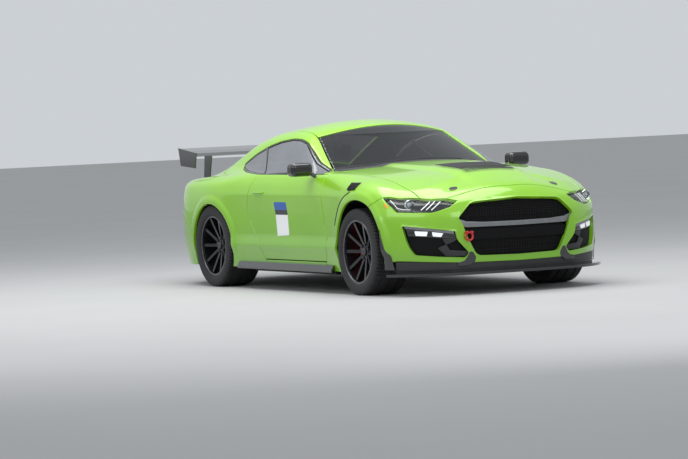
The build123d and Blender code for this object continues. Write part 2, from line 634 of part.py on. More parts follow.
def front_splitter():
    """A flat black blade under the bumper, from plan arcs a little outside it."""
    z = FORM_BOTTOM - SPLITTER_DEPTH
    nose = Vector(NOSE_X, 0, z)
    corner = Vector(NOSE_X - 60, 545, z)
    side = Vector(fx(SPLITTER_REAR), HALF_WIDTH - 8, z)
    inner = Vector(fx(SPLITTER_REAR), HALF_WIDTH - 90, z)
    inner_corner = Vector(fx(SPLITTER_REAR), 300, z)
    mid = bulge_point(corner, side, NOSE_BULGE)
    edges = [bow(corner, mid, side), Line(side, inner), Line(inner, inner_corner),
             Line(inner_corner, flip(inner_corner)), Line(flip(inner_corner), flip(inner)),
             Line(flip(inner), flip(side)), bow(flip(side), flip(mid), flip(corner)),
             bow(flip(corner), nose, corner)]
    return Solid.extrude(Face(Wire(edges)), Vector(0, 0, SPLITTER_DEPTH))


LID_BARREL = 40.0             # along Y, between the lugs' slots
LID_LUG = 10.0
LID_LUG_GAP = 5.0
LID_LUG_REACH = 21.0


def lid_hinge_places(hinge, datum):
    """The pin's x and z, and the y of each lug, at one lid's pair of hinges."""
    x, z, y = datum(hinge[0]), hinge[1], hinge[2]
    step = LID_BARREL / 2 + LID_LUG_GAP + LID_LUG / 2
    return x, z, [s * y + side * step for s in (1, -1) for side in (1, -1)], y


def lid_hinge_cut(hinge, datum, forward):
    """What a lid loses at its hinges: the pin's bore and a slot round each lug."""
    x, z, lug_ys, y = lid_hinge_places(hinge, datum)
    reach = (LID_LUG_REACH + LID_LUG_GAP + 1) * forward
    half = LID_LUG / 2 + LID_LUG_GAP
    cuts = [block(x + reach, x - forward * 120, ly - half, ly + half, z - 60, z + 60) for ly in lug_ys]
    cuts += [rod((x, s * y - 60, z), (x, s * y + 60, z), HINGE_PIN_RADIUS + PIN_CLEARANCE) for s in (1, -1)]
    return cuts


def lid_hinge_lugs(hinge, datum, x_to, z_from):
    """The body's lugs and pins at one lid's hinges."""
    x, z, lug_ys, y = lid_hinge_places(hinge, datum)
    low, high = sorted((x, x_to))
    high += 12 if x_to < x else 0
    lugs = [block(low - 12, high, ly - LID_LUG / 2, ly + LID_LUG / 2, z_from, z + 11) for ly in lug_ys]
    half = LID_BARREL / 2 + LID_LUG_GAP + LID_LUG / 2
    return lugs + [rod((x, s * y - half, z), (x, s * y + half, z), HINGE_PIN_RADIUS) for s in (1, -1)]


def bonnet():
    lid = largest(LID_SKIN & bonnet_plan(0, BONNET_LOW, 1100))
    for cutter in lid_hinge_cut(BONNET_HINGE, fx, 1):
        lid = lid - cutter
    return largest(lid)


VENT = ((543.5, 200.0), (0.0, 330.0))      # from the front axle, half width
VENT_LIFT = 5.0


def bonnet_vent():
    """The dark vent panel: a thin cover that lies on the bonnet's raised middle."""
    (x0, y0), (x1, y1) = VENT
    plan = plan_prism([(fx(x0), -y0), (fx(x0), y0), (fx(x1), y1), (fx(x1), -y1)], 700, 1100)
    return largest((lower_form(0, -VENT_LIFT - SEAT_GAP) - lower_form(0, -SEAT_GAP)) & plan)


def cowl_panel():
    """The black panel between bonnet and windscreen, with the wiper shelf."""
    plan = block(fx(-900), fx(BONNET_REAR), -COWL_HALF, COWL_HALF, 900, 1100)
    panel = (OUTER - lower_form(COWL_WALL)) & plan
    panel = panel - bonnet_plan(COWL_GAP, 600, 1100)
    foot = block(fx(BODY_FRONT - POST_DEPTH) - SEAT_GAP, fx(BODY_FRONT - FOOT_SETBACK) + SEAT_GAP,
                 POST_OUTER_Y - POST_WALL - SEAT_GAP, POST_OUTER_Y, 0, 1100)
    for part in both(foot):
        panel = panel - part
    return panel


def windshield():
    """The laminated screen: the cabin's front face from the cowl to the header."""
    face = screen_slab(80, 90, SCREEN_MARGIN + SEAT_GAP) & roof_form(HEADER + SEAT_GAP)
    return largest(((CABIN - CABIN_GLASS) & face) - OUTER)


def rear_window():
    return largest((CABIN - CABIN_GLASS) & rear_glass_zone(0) - OUTER)


def door_glass():
    """The left door's frameless glass, standing on the belt."""
    glass = (CABIN - CABIN_GLASS) & side_window(DOOR_GLASS, fx, 0)
    return largest(glass & block(-3000, 3000, 0, 1100, BELT_HEIGHT + SEAT_GAP, 1400))


def quarter_glass():
    return largest((CABIN - CABIN_GLASS) & side_window(QUARTER_GLASS, rx, 0))


SKIRT = ((880.0, 150.0), (966.0, 172.0), (971.0, 190.0), (948.0, 228.0), (905.0, 240.0), (880.0, 178.0))
SKIRT_FRONT = -436.5          # from the front axle
SKIRT_REAR = 500.0            # from the rear axle


def side_skirt():
    """The left black skirt: a blade along the sill's foot."""
    face = Face(Wire.make_polygon([(rx(SKIRT_REAR), y, z) for y, z in SKIRT]))
    blade = Solid.extrude(face, Vector(fx(SKIRT_FRONT) - rx(SKIRT_REAR), 0, 0))
    return largest(blade - OUTER)


MIRROR = (-866.5, 1005.0, 1000.0)      # x from the front axle, y, z of its middle
MIRROR_SIZE = (130.0, 190.0, 112.0)
MIRROR_ROUND = 38.0
MIRROR_ARM = 30.0


def mirror_head():
    """The left mirror: a rounded housing on an arm from the door."""
    x, y, z = fx(MIRROR[0]), MIRROR[1], MIRROR[2]
    head = Solid.make_box(*MIRROR_SIZE)
    head = head.fillet(MIRROR_ROUND, head.edges())
    head = Pos(x - MIRROR_SIZE[0] / 2, y - MIRROR_SIZE[1] / 2, z - MIRROR_SIZE[2] / 2) * head
    arm = rod((x + 20, y - MIRROR_SIZE[1] / 2 + 20, z - 30), (x + 45, y - 165, z - 90), MIRROR_ARM / 2)
    above_belt = block(-3000, 3000, 0, 1100, BELT_HEIGHT, 1400)
    return largest(head + arm - OUTER - (CABIN & above_belt))


def rear_bumper():
    skin = (SKIN & rear_bumper_zone(0)) - lid_zone(PANEL_GAP) - diffuser_zone(SEAT_GAP)
    for cutter in both(tail_lamp_zone(SEAT_GAP)) + REAR_ARCHES:
        skin = skin - cutter
    return largest(skin)


DIFFUSER_HALF = 560.0
DIFFUSER_TOP = 350.0
DIFFUSER_FRONT = -760.0       # from the rear axle
DIFFUSER_FINS = (-300.0, -100.0, 100.0, 300.0)
DIFFUSER_WALL = 60.0


def diffuser_zone(grow):
    half = DIFFUSER_HALF + grow
    return block(rx(DIFFUSER_FRONT) + grow, TAIL_X - 50, -half, half, 0, DIFFUSER_TOP + grow)


def rear_diffuser():
    """The black insert under the rear bumper: a wall with fins, open for the tail pipes."""
    wall = (OUTER - lower_form(DIFFUSER_WALL)) & diffuser_zone(0)
    pipe_top = TIP_Z + TIP_RADIUS + 12
    for y in (-PIPE_Y, PIPE_Y):
        wall = wall - block(rx(-900), TAIL_X - 50, y - TIP_SPACING, y + TIP_SPACING, 0, pipe_top)
    keel = block(rx(DIFFUSER_FRONT), TAIL_X + 90, -300, 300, FORM_BOTTOM - 12, FORM_BOTTOM)
    for y in DIFFUSER_FINS:
        keel = keel + block(rx(DIFFUSER_FRONT), TAIL_X + 70, y - 5, y + 5, FORM_BOTTOM - 50, FORM_BOTTOM - 1)
    return largest(wall + keel)


def tail_lamp():
    """The left tail lamp: three upright bars on a dark base."""
    y0, y1, z0, z1 = TAIL_LAMP
    base = (lower_form(SKIN_WALL / 3) - SKIN_INNER) & tail_lamp_zone(0)
    bars = SKIN & tail_lamp_zone(0)
    pitch = (y1 - y0) * 0.26
    keep = [block(-3000, 0, y0 + 12 + k * pitch, y0 + 12 + (k + 0.72) * pitch, z0 + 12, z1 - 12)
            for k in range(3)]
    return largest(base + (bars & (keep[0] + keep[1] + keep[2])))


def decklid():
    lid = LID_SKIN & block(rx(LID_FRONT), TAIL_X - 50, -LID_HALF, LID_HALF, LID_FACE_TOP, 1100)
    lid = largest(lid - CABIN)
    for cutter in lid_hinge_cut(LID_HINGE, rx, -1):
        lid = lid - cutter
    return largest(lid)


def tail_panel():
    """The dark panel across the tail, fixed to the boot lid's rear face."""
    return largest(SKIN & block(rx(-900), TAIL_X - 50, -LID_FACE_HALF, LID_FACE_HALF,
                                LID_FACE_LOW, LID_FACE_TOP))


WING_HALF = 745.0
WING_SECTION = ((426.5, 1104.0), (356.5, 1128.0), (226.5, 1150.0), (71.5, 1172.0), (71.5, 1164.0),
                (226.5, 1124.0), (356.5, 1098.0))     # x ahead of the tail, z
WING_PLATE = ((431.5, 1132.0), (54.5, 1177.0), (96.5, 1020.0), (396.5, 1000.0))
WING_STAND = ((346.5, 1101.0), (206.5, 1128.0), (166.5, 860.0), (276.5, 860.0))
WING_STAND_Y = 560.0
WING_PLATE_WALL = 9.0


def rear_wing():
    """The black wing: a blade between end plates, on two stands from the lid."""
    blade = side_prism(side_points(WING_SECTION, tx), -WING_HALF, WING_HALF)
    for s in (1, -1):
        plate, stand = side_points(WING_PLATE, tx), side_points(WING_STAND, tx)
        blade = blade + side_prism(plate, s * WING_HALF, s * (WING_HALF + WING_PLATE_WALL))
        blade = blade + side_prism(stand, s * WING_STAND_Y, s * (WING_STAND_Y + 10))
    return largest(blade - OUTER)


# Running gear
def wheel(side, x, track, radius, width):
    """Tyre and rim of one wheel; side is 1 on the left."""
    half, edge, bead = width / 2, RIM_WIDTH / 2, BEAD_RADIUS
    upper = [(bead, edge - 14), (bead + 17, edge - 14), (bead + 19, edge + 2), (bead + 46, half),
             (radius - 34, half), (radius - 9, half - 14), (radius, half - 34)]
    tyre = turned(upper + [(r, -v) for r, v in reversed(upper)])
    flange = [(RIM_INNER, edge - 20), (bead - 12, edge), (bead + 14, edge), (bead + 14, edge - 9),
              (bead - SEAT_GAP, edge - 14)]
    rim = turned([(r, -v) for r, v in reversed(flange)] + flange) + spokes() + turned(HUB)
    rim = rim - rod((0, -200, 0), (0, HUB_FACE - 20, 0), SPINDLE_RADIUS + PIN_CLEARANCE)
    place = Pos(x, track, radius)
    tyre, rim = place * tyre, place * rim
    if side < 0:
        tyre, rim = mirrored(tyre), mirrored(rim)
    return tyre, largest(rim)


RIM_INNER = 240.0
SPOKES = 10
SPOKE_WIDTH = 26.0
SPOKE_DEPTH = 26.0
HUB_FACE = 62.0
SPINDLE_RADIUS = 30.0
DISC_RADIUS = 197.0
DISC_Y = (-52.0, -18.0)
HUB = ((0.0, -38.0), (70.0, -38.0), (70.0, DISC_Y[0]), (DISC_RADIUS, DISC_Y[0]), (DISC_RADIUS, DISC_Y[1]),
       (82.0, DISC_Y[1]), (82.0, HUB_FACE), (40.0, HUB_FACE + 14), (0.0, HUB_FACE + 14))


def turned(section):
    """A section of (radius, y) turned about the wheel's axle."""
    face = Face(Wire.make_polygon([(r, y, 0) for r, y in section]))
    return Solid.revolve(face, 360, Axis((0, 0, 0), (0, 1, 0)))


def spokes():
    """Pairs of straight spokes from the hub out to the rim's lip."""
    reach, face = RIM_INNER + 5, RIM_WIDTH / 2 - 14
    one = Face(Wire.make_polygon([(60, HUB_FACE - 12, 0), (reach, face - 30, 0), (reach, face, 0),
                                  (60, HUB_FACE + SPOKE_DEPTH - 12, 0)]))
    bar = Solid.extrude(one, Vector(0, 0, SPOKE_WIDTH))
    bar = Pos(0, 0, -SPOKE_WIDTH / 2) * bar
    star = bar
    for k in range(1, SPOKES):
        star = star + Rot(0, 360 / SPOKES * k, 0) * bar
    return star


def knuckle_front():
    """The left steering knuckle: an upright on the kingpin, with its spindle and caliper."""
    x, z = fx(0), FRONT_TYRE_RADIUS
    y0 = FRONT_HALF_TRACK
    upright = block(x - 35, x + 35, KINGPIN_Y - 30, KINGPIN_Y + 24, z - 115, z + 115)
    spindle = rod((x, KINGPIN_Y, z), (x, y0 + HUB_FACE - 22, z), SPINDLE_RADIUS)
    body = upright + spindle + caliper(x, z, KINGPIN_Y + 10, y0)
    return body - rod((x, KINGPIN_Y, z - 130), (x, KINGPIN_Y, z + 130), KINGPIN_RADIUS + PIN_CLEARANCE)


KINGPIN_RADIUS = 13.0
CALIPER_ARC = 38.0            # degrees each side
CALIPER_INNER = 118.0
CALIPER_OUTER = 226.0
CALIPER_WALL = 20.0
DISC_GAP = 5.5


def caliper(x, z, inner_y, hub_y):
    """A brake caliper over the disc's rear edge, on an arm from the upright."""
    d0, d1 = hub_y + DISC_Y[0], hub_y + DISC_Y[1]
    gap, wall = DISC_GAP, CALIPER_WALL
    inside = d1 - d0 + 2 * gap
    ring = turned([(CALIPER_INNER, 0), (CALIPER_OUTER, 0), (CALIPER_OUTER, inside + 2 * wall),
                   (CALIPER_INNER, inside + 2 * wall)]) & axle_wedge(CALIPER_ARC, CALIPER_OUTER + 30)
    reach = DISC_RADIUS + gap
    slot = turned([(0, wall), (reach, wall), (reach, wall + inside), (0, wall + inside)])
    unit = Pos(x, d0 - gap - CALIPER_WALL, z) * (ring - slot)
    arm = block(x - CALIPER_INNER - 40, x - 20, inner_y - 14, d0 - gap - 2, z - 40, z + 40)
    return unit + arm


def axle_wedge(angle, reach):
    """A wedge about the axle, opening rearwards by angle each side."""
    a = math.radians(angle)
    back, up = -reach * math.cos(a), reach * math.sin(a)
    pts = [(0, 0), (back, up), (-reach * 1.4, 0), (back, -up)]
    return side_prism(pts, -200, 300)


def front_suspension():
    """Subframe, arms, kingpins and spring struts of the front axle, as one welded piece."""
    x, z = fx(0), FRONT_TYRE_RADIUS
    low, high = z - 140, z + 140
    frame = block(x - 90, x + 90, -430, 430, low - 35, low)
    tower = block(x - 60, x + 60, -430, -330, low - 35, 800) + block(x - 60, x + 60, 330, 430, low - 35, 800)
    frame = frame + tower
    for s in (1, -1):
        frame = frame + rod((x, s * 420, low - 6), (x, s * (KINGPIN_Y + 12), low - 6), 17)
        frame = frame + rod((x, s * 420, high + 6), (x, s * (KINGPIN_Y + 12), high + 6), 15)
        frame = frame + rod((x, s * KINGPIN_Y, low - 10), (x, s * KINGPIN_Y, high + 10), KINGPIN_RADIUS)
        frame = frame + rod((x, s * 540, low - 10), (x, s * 500, 762), 45)
        frame = frame + block(x - 50, x + 50, s * 420, s * 545, 750, 778)
    return largest(frame)


REAR_RAIL_Z = 420.0


def rear_suspension():
    """Subframe, differential, half shafts, arms, uprights and calipers of the rear axle."""
    x, z = rx(0), REAR_TYRE_RADIUS
    y0 = REAR_HALF_TRACK
    frame = block(x - 150, x + 110, -130, 130, z - 90, z + 100)
    for dx in (-190, 190):
        frame = frame + block(x + dx - 30, x + dx + 30, -520, 520, z - 110, z - 60)
        for s in (1, -1):
            frame = frame + block(x + dx - 30, x + dx + 30, s * 460, s * 520, z - 60, REAR_RAIL_Z - SEAT_GAP)
    frame = frame + block(x - 200, x + 200, -60, 60, z - 105, z - 60)
    for s in (1, -1):
        upright = block(x - 40, x + 40, s * 655, s * 715, z - 120, z + 120)
        shaft = rod((x, s * 100, z), (x, s * 700, z), 24)
        spindle = rod((x, s * 700, z), (x, s * (y0 + HUB_FACE - 22), z), SPINDLE_RADIUS)
        arms = rod((x + 190, s * 500, z - 80), (x + 20, s * 665, z - 95), 16)
        arms = arms + rod((x - 190, s * 500, z - 80), (x - 20, s * 665, z - 95), 16)
        strut = rod((x, s * 640, z + 105), (x - 20, s * 560, 690), 30)
        strut = strut + block(x - 20, x + 20, s * 620, s * 665, z + 70, z + 115)
        cal = caliper(x, z, 700, y0)
        if s < 0:
            cal = mirrored(cal)
        frame = frame + upright + shaft + spindle + arms + strut + cal
    return largest(frame)


BOOT_WELL_Z = 400.0
PIPE_Y = 420.0
PIPE_RADIUS = 30.0
TIP_SPACING = 112.0
TIP_RADIUS = 48.0
TIP_Z = 245.0


def exhaust():
    """Two pipes under the floor, a silencer at each side of the tail and two tips each."""
    system = None
    for s in (1, -1):
        pipe = rod((fx(-500), s * 200, 142), (rx(-300), s * 200, 142), PIPE_RADIUS)
        rise = rod((rx(-300), s * 200, 142), (rx(-500), s * 300, 205), PIPE_RADIUS)
        rise = rise + Pos(rx(-300), s * 200, 142) * Solid.make_sphere(PIPE_RADIUS, angle1=-90)
        box = block(rx(-480), rx(-750), s * 240, s * 540, 165, 300)
        hanger = block(rx(-600), rx(-640), s * 380, s * 420, 290, BOOT_WELL_Z - SEAT_GAP)
        unit = pipe + rise + box + hanger
        for y in (s * PIPE_Y - TIP_SPACING / 2, s * PIPE_Y + TIP_SPACING / 2):
            tip = rod((rx(-740), y, TIP_Z), (TAIL_X + 26, y, TIP_Z), TIP_RADIUS)
            tip = tip - rod((rx(-755), y, TIP_Z), (TAIL_X, y, TIP_Z), TIP_RADIUS - 5)
            unit = unit + tip
        system = unit if system is None else system + unit
    link = block(fx(-530), fx(-500), -205, 205, 130, 154)
    return largest(system + link)


def engine():
    return block(fx(-490), fx(240), -270, 270, FRONT_TYRE_RADIUS - 140 + SEAT_GAP, 800)


def driveline():
    """Gearbox and propeller shaft along the tunnel, up to the differential."""
    z = REAR_TYRE_RADIUS - 5
    box = block(fx(-1150), fx(-490) - SEAT_GAP, -95, 95, z - 110, z + 50)
    shaft = rod((fx(-1140), 0, z), (rx(110) + SEAT_GAP, 0, z), 42)
    return box + shaft


FLOOR_WALL = 12.0
TUNNEL_HALF = 130.0
TUNNEL_TOP = 400.0


FLOOR_HALF = POST_OUTER_Y - POST_WALL - SEAT_GAP
FLOOR_REAR = 254.0            # front face of the kick-up, ahead of the rear axle
FIREWALL = -586.0             # from the front axle
FIREWALL_TOP = 928.0
BOOT_FLOOR_Z = 690.0
BOOT_WELL = (-560.0, -880.0)  # its front and rear walls, from the rear axle


def floor_pan():
    """Floor and tunnel as one welded piece."""
    z0, t = FORM_BOTTOM, FLOOR_WALL
    x_fire, x_kick = fx(FIREWALL) - t - SEAT_GAP, rx(FLOOR_REAR) + SEAT_GAP
    pan = block(x_kick, x_fire, -FLOOR_HALF, FLOOR_HALF, z0, z0 + t)
    pan = pan + block(x_kick, x_fire, -TUNNEL_HALF - t, TUNNEL_HALF + t, z0, TUNNEL_TOP + t)
    for cutter in REAR_LINER_ROOM:
        pan = pan - cutter
    return largest(pan - block(x_kick - t, x_fire + t, -TUNNEL_HALF, TUNNEL_HALF, z0 - t, TUNNEL_TOP))


def front_structure():
    """Firewall, front rails, crossmember and the bonnet's hinges."""
    z0, t, x_fire = FORM_BOTTOM, FLOOR_WALL, fx(FIREWALL)
    frame = block(x_fire - t, x_fire, -FLOOR_HALF, FLOOR_HALF, z0, FIREWALL_TOP)
    frame = frame - block(x_fire - 2 * t, x_fire + t, -TUNNEL_HALF, TUNNEL_HALF, z0 - t, TUNNEL_TOP)
    for s in (1, -1):
        frame = frame + block(x_fire - 1, fx(CROSSMEMBER - 20), s * 365, s * 430, 250, 370)
    frame = frame + block(fx(CROSSMEMBER - 20), fx(CROSSMEMBER), -560, 560, 250, 735)
    for part in lid_hinge_lugs(BONNET_HINGE, fx, x_fire, FIREWALL_TOP - 5):
        frame = frame + part
    return largest(frame - FRONT_FRAME)


def boot_floor():
    """The kick-up behind the rear seat, the boot's floor and well, and the rear rails."""
    z0, t, x_kick = FORM_BOTTOM, FLOOR_WALL, rx(FLOOR_REAR)
    well = rx(BOOT_WELL[0])
    pan = block(x_kick - t, x_kick, -590, 590, z0, BOOT_FLOOR_Z + t)
    pan = pan - block(x_kick - 2 * t, x_kick + t, -TUNNEL_HALF, TUNNEL_HALF, z0 - t, TUNNEL_TOP)
    pan = pan + block(x_kick, well - t, -555, 555, BOOT_FLOOR_Z, BOOT_FLOOR_Z + t)
    pan = pan + block(well, well - t, -555, 555, BOOT_WELL_Z, BOOT_FLOOR_Z)
    pan = pan + block(well, rx(BOOT_WELL[1]), -540, 540, BOOT_WELL_Z, BOOT_WELL_Z + t)
    pan = pan + block(rx(BOOT_WELL[1]) + t, rx(BOOT_WELL[1]), -560, 560, BOOT_WELL_Z, 760)
    for s in (1, -1):
        pan = pan + block(x_kick - 1, well, s * 460, s * 520, REAR_RAIL_Z, REAR_RAIL_Z + 60)
    for cutter in REAR_LINER_ROOM:
        pan = pan - cutter
    return largest(pan - REAR_FRAME)


def liner(x, z, radius, y0, y1):
    """A wheel arch liner: a half-round shell inside the skin."""
    shell = arch(x, z, radius + LINER_WALL, y0, y1) - arch(x, z, radius, y0 - 10, y1 + 10)
    shell = shell & block(x - 600, x + 600, y0, y1, FORM_BOTTOM + 40, 1000)
    return shell


def wheel_liners():
    inner = lower_form(SKIN_WALL + SEAT_GAP)
    front = liner(fx(LINER_SHIFT), FRONT_TYRE_RADIUS, LINER_RADIUS, 470, 1000) & inner
    wall_inner = lower_form(BODY_WALL + SEAT_GAP)
    rear = liner(rx(0), REAR_LINER_Z, REAR_LINER_RADIUS, 600, 1000) & wall_inner
    return [largest(front), largest(rear)]


DASH_REAR = -1230.0           # its driver's side, from the front axle
DASH_HEIGHTS = (640.0, 915.0)


def dashboard():
    front = fx(BODY_FRONT - POST_DEPTH + 20)
    body = block(fx(DASH_REAR), front, -FLOOR_HALF, FLOOR_HALF, *DASH_HEIGHTS)
    near_driver = [e for e in body.edges() if e.center().X < fx(DASH_REAR + 30) and abs(e.center().Y) < 1]
    return body.fillet(60, near_driver)


SEAT_Y = 400.0
SEAT_X = -1915.0              # front seat's hip point, from the front axle
REAR_CUSHION_FRONT = 590.0    # rear cushion's front edge, from the rear axle


def steering_wheel():
    ring = Solid.make_torus(178, 15)
    hub = Solid.make_cylinder(45, 30, Plane((0, 0, -10)))
    arms = Solid.make_box(340, 40, 16)
    wheel_ = ring + hub + Pos(-170, -20, -8) * arms
    wheel_ = wheel_ + Solid.make_cylinder(22, 125, Plane((0, 0, 0)))
    return largest(Pos(fx(-1310), SEAT_Y, 800) * Rot(0, 68, 0) * wheel_ - dashboard())


def front_seat():
    """The left front seat: cushion and back as one closed form."""
    z0 = FORM_BOTTOM + FLOOR_WALL + SEAT_GAP
    side = [(-100, z0), (-100, 400), (330, 440), (440, 400), (440, z0)]
    cushion = side_prism([(fx(SEAT_X) + x, z) for x, z in side], SEAT_Y - 245, SEAT_Y + 245)
    back = [(-130, 300), (-300, 900), (-310, 1040), (-240, 1055), (-190, 940), (30, 360)]
    return cushion + side_prism([(fx(SEAT_X) + x, z) for x, z in back], SEAT_Y - 235, SEAT_Y + 235)


def rear_seat():
    z0 = FORM_BOTTOM + FLOOR_WALL + SEAT_GAP
    x0 = FLOOR_REAR + SEAT_GAP
    side = [(x0, z0), (x0, 425), (REAR_CUSHION_FRONT - 20, 435),
            (REAR_CUSHION_FRONT, 400), (REAR_CUSHION_FRONT, z0)]
    back = [(x0, 425), (x0, 702), (x0 - 90, 960), (x0 - 20, 970), (385, 425)]
    seat = side_prism(side_points(side, rx), -560, 560) + side_prism(side_points(back, rx), -520, 520)
    half = TUNNEL_HALF + FLOOR_WALL + SEAT_GAP
    seat = seat - block(-3000, 3000, -half, half, 0, TUNNEL_TOP + FLOOR_WALL + SEAT_GAP)
    shelf = block(-3000, rx(x0), -700, 700, 0, BOOT_FLOOR_Z + FLOOR_WALL + SEAT_GAP)
    return seat - shelf


def hook_bolt(grow):
    """The shackle's bolt, from its loop's top back to the crossmember; grow makes its hole."""
    x, y, z = NOSE_X - HOOK[0], HOOK[1], HOOK[2] + HOOK_LOOP
    return rod((x + grow, y, z), (fx(CROSSMEMBER) + SEAT_GAP - grow, y, z), HOOK_ROD + grow)


def tow_hook():
    """A red shackle in the grille's corner, on a bolt from the crossmember behind."""
    x, y, z = NOSE_X - HOOK[0], HOOK[1], HOOK[2]
    loop = Solid.make_torus(HOOK_LOOP, HOOK_ROD, Plane((x, y, z), z_dir=(1, 0, 0)))
    return loop + hook_bolt(0)


print("body")
FRONT_FRAME = front_suspension()
REAR_FRAME = rear_suspension()
ROOF_PANEL, DECK_PANEL, SIDE_PANEL = shell_panels(body_shell())
save("roof_panel", ROOF_PANEL)
save("deck_panel", DECK_PANEL)
save("side_panels", SIDE_PANEL, mirrored(SIDE_PANEL))
print("doors")
DOOR = door()
for side, piece in (("left", DOOR), ("right", mirrored(DOOR))):
    save(f"door_{side}", piece)
print("front")
FENDER = fender()
save("front_fenders", FENDER, mirrored(FENDER))
save("front_bumper", front_bumper())
LAMP = headlamp()
save("headlamps", LAMP, mirrored(LAMP))
save("grille", grille())
save("front_splitter", front_splitter())
save("bonnet", bonnet())
save("bonnet_vent", bonnet_vent())
save("cowl_panel", cowl_panel())
print("glass")
save("windshield", windshield())
save("rear_window", rear_window())
GLASS = door_glass()
MIRROR_HEAD = mirror_head()
for side, flip_it in (("left", lambda s: s), ("right", mirrored)):
    save(f"door_glass_{side}", flip_it(GLASS))
    save(f"mirror_{side}", flip_it(MIRROR_HEAD))
QUARTER = quarter_glass()
save("quarter_windows", QUARTER, mirrored(QUARTER))
SKIRT_BLADE = side_skirt()
save("side_skirts", SKIRT_BLADE, mirrored(SKIRT_BLADE))
print("tail")
save("rear_bumper", rear_bumper())
save("rear_diffuser", rear_diffuser())
TAIL = tail_lamp()
save("tail_lamps", TAIL, mirrored(TAIL))
save("boot_lid", decklid())
save("tail_panel", tail_panel())
save("rear_wing", rear_wing())
print("running gear")
for end, x, track, radius, width in (("front", fx(0), FRONT_HALF_TRACK, FRONT_TYRE_RADIUS, FRONT_TYRE_WIDTH),
                                     ("rear", rx(0), REAR_HALF_TRACK, REAR_TYRE_RADIUS, REAR_TYRE_WIDTH)):
    for side, sign in (("left", 1), ("right", -1)):
        tyre, rim = wheel(sign, x, track, radius, width)
        save(f"tyre_{end}_{side}", tyre)
        save(f"rim_{end}_{side}", rim)
KNUCKLE = knuckle_front()
save("knuckle_front_left", KNUCKLE)
save("knuckle_front_right", mirrored(KNUCKLE))
save("front_suspension", FRONT_FRAME)
save("rear_suspension", REAR_FRAME)
save("exhaust", exhaust())
save("engine", engine())
save("driveline", driveline())
print("inside")
save("floor_pan", floor_pan())
save("front_structure", front_structure())
save("boot_floor", boot_floor())
LINERS = wheel_liners()
save("wheel_liners", *[s for l in LINERS for s in (l, mirrored(l))])
save("dashboard", dashboard())
save("steering_wheel", steering_wheel())
SEAT = front_seat()
save("front_seats", SEAT, mirrored(SEAT))
save("rear_seat", rear_seat())
save("tow_hook", tow_hook())
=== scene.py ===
# %% [markdown]
# # A drag racing coupe
# The construction comes packed as a fixed frame: every node already has its real size and place.
# This script gives the car its looks. The painted body is worked out as one smooth form, and each panel
# is then cut from that form along the real shut lines, so that neighbours always stay flush.

# %% Load the frame
import math

import bmesh
import bpy
import numpy as np
from mathutils import Matrix, Vector
from mathutils.geometry import delaunay_2d_cdt


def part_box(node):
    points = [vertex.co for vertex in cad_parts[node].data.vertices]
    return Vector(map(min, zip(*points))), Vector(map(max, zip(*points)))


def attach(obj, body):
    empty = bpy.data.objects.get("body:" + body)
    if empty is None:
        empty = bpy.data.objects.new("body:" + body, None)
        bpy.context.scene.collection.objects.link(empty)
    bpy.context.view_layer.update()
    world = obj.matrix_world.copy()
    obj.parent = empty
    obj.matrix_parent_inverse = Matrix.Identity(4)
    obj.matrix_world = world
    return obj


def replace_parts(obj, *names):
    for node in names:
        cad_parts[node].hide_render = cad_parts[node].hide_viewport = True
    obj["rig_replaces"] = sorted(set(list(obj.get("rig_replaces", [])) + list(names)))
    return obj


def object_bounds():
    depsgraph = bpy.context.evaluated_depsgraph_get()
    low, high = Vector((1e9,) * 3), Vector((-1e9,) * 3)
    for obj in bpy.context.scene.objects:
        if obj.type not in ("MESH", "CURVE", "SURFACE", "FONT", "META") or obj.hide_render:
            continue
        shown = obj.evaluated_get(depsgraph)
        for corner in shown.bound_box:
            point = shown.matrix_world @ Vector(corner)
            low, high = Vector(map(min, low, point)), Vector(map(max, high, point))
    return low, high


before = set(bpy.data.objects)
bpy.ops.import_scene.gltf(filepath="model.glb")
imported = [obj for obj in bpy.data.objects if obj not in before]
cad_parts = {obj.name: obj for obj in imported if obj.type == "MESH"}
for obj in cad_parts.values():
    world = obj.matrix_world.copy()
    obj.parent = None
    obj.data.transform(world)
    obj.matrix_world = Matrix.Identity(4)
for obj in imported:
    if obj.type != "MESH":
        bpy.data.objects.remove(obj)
CAD_BOX = [list(corner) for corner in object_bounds()]
print("CAD box", CAD_BOX)

# %% [markdown]
# ## Where things are
# The axles, the nose and the tail are read from the frame. Some other places are measured from one of them, which keeps
# those with their axle if the wheelbase changes.

# %% Datums
MM = 0.001


def middle(node):
    """The centre of a node's box."""
    low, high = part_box(node)
    return (low + high) / 2


FRONT_X = middle("tyre_front_left").x
REAR_X = middle("tyre_rear_left").x
FRONT_RADIUS = middle("tyre_front_left").z
REAR_RADIUS = middle("tyre_rear_left").z
NOSE_X = CAD_BOX[1][0]
TAIL_X = CAD_BOX[0][0]
HALF_WIDTH = 0.973


def fx(millimetres):
    """An X ahead of the front axle."""
    return FRONT_X + millimetres * MM


def rx(millimetres):
    """An X ahead of the rear axle."""
    return REAR_X + millimetres * MM


print("axles", round(FRONT_X, 4), round(REAR_X, 4), "nose and tail", NOSE_X, TAIL_X)

# %% [markdown]
# ## The body's form
# A car body is easiest to hold as a few tables: plan outlines at the heights of its creases, and the
# height of its top along the centre line. A monotone cubic runs through each table, because it bends
# smoothly and never overshoots. Where a panel has a crisp crease, the cubic is broken at that row.

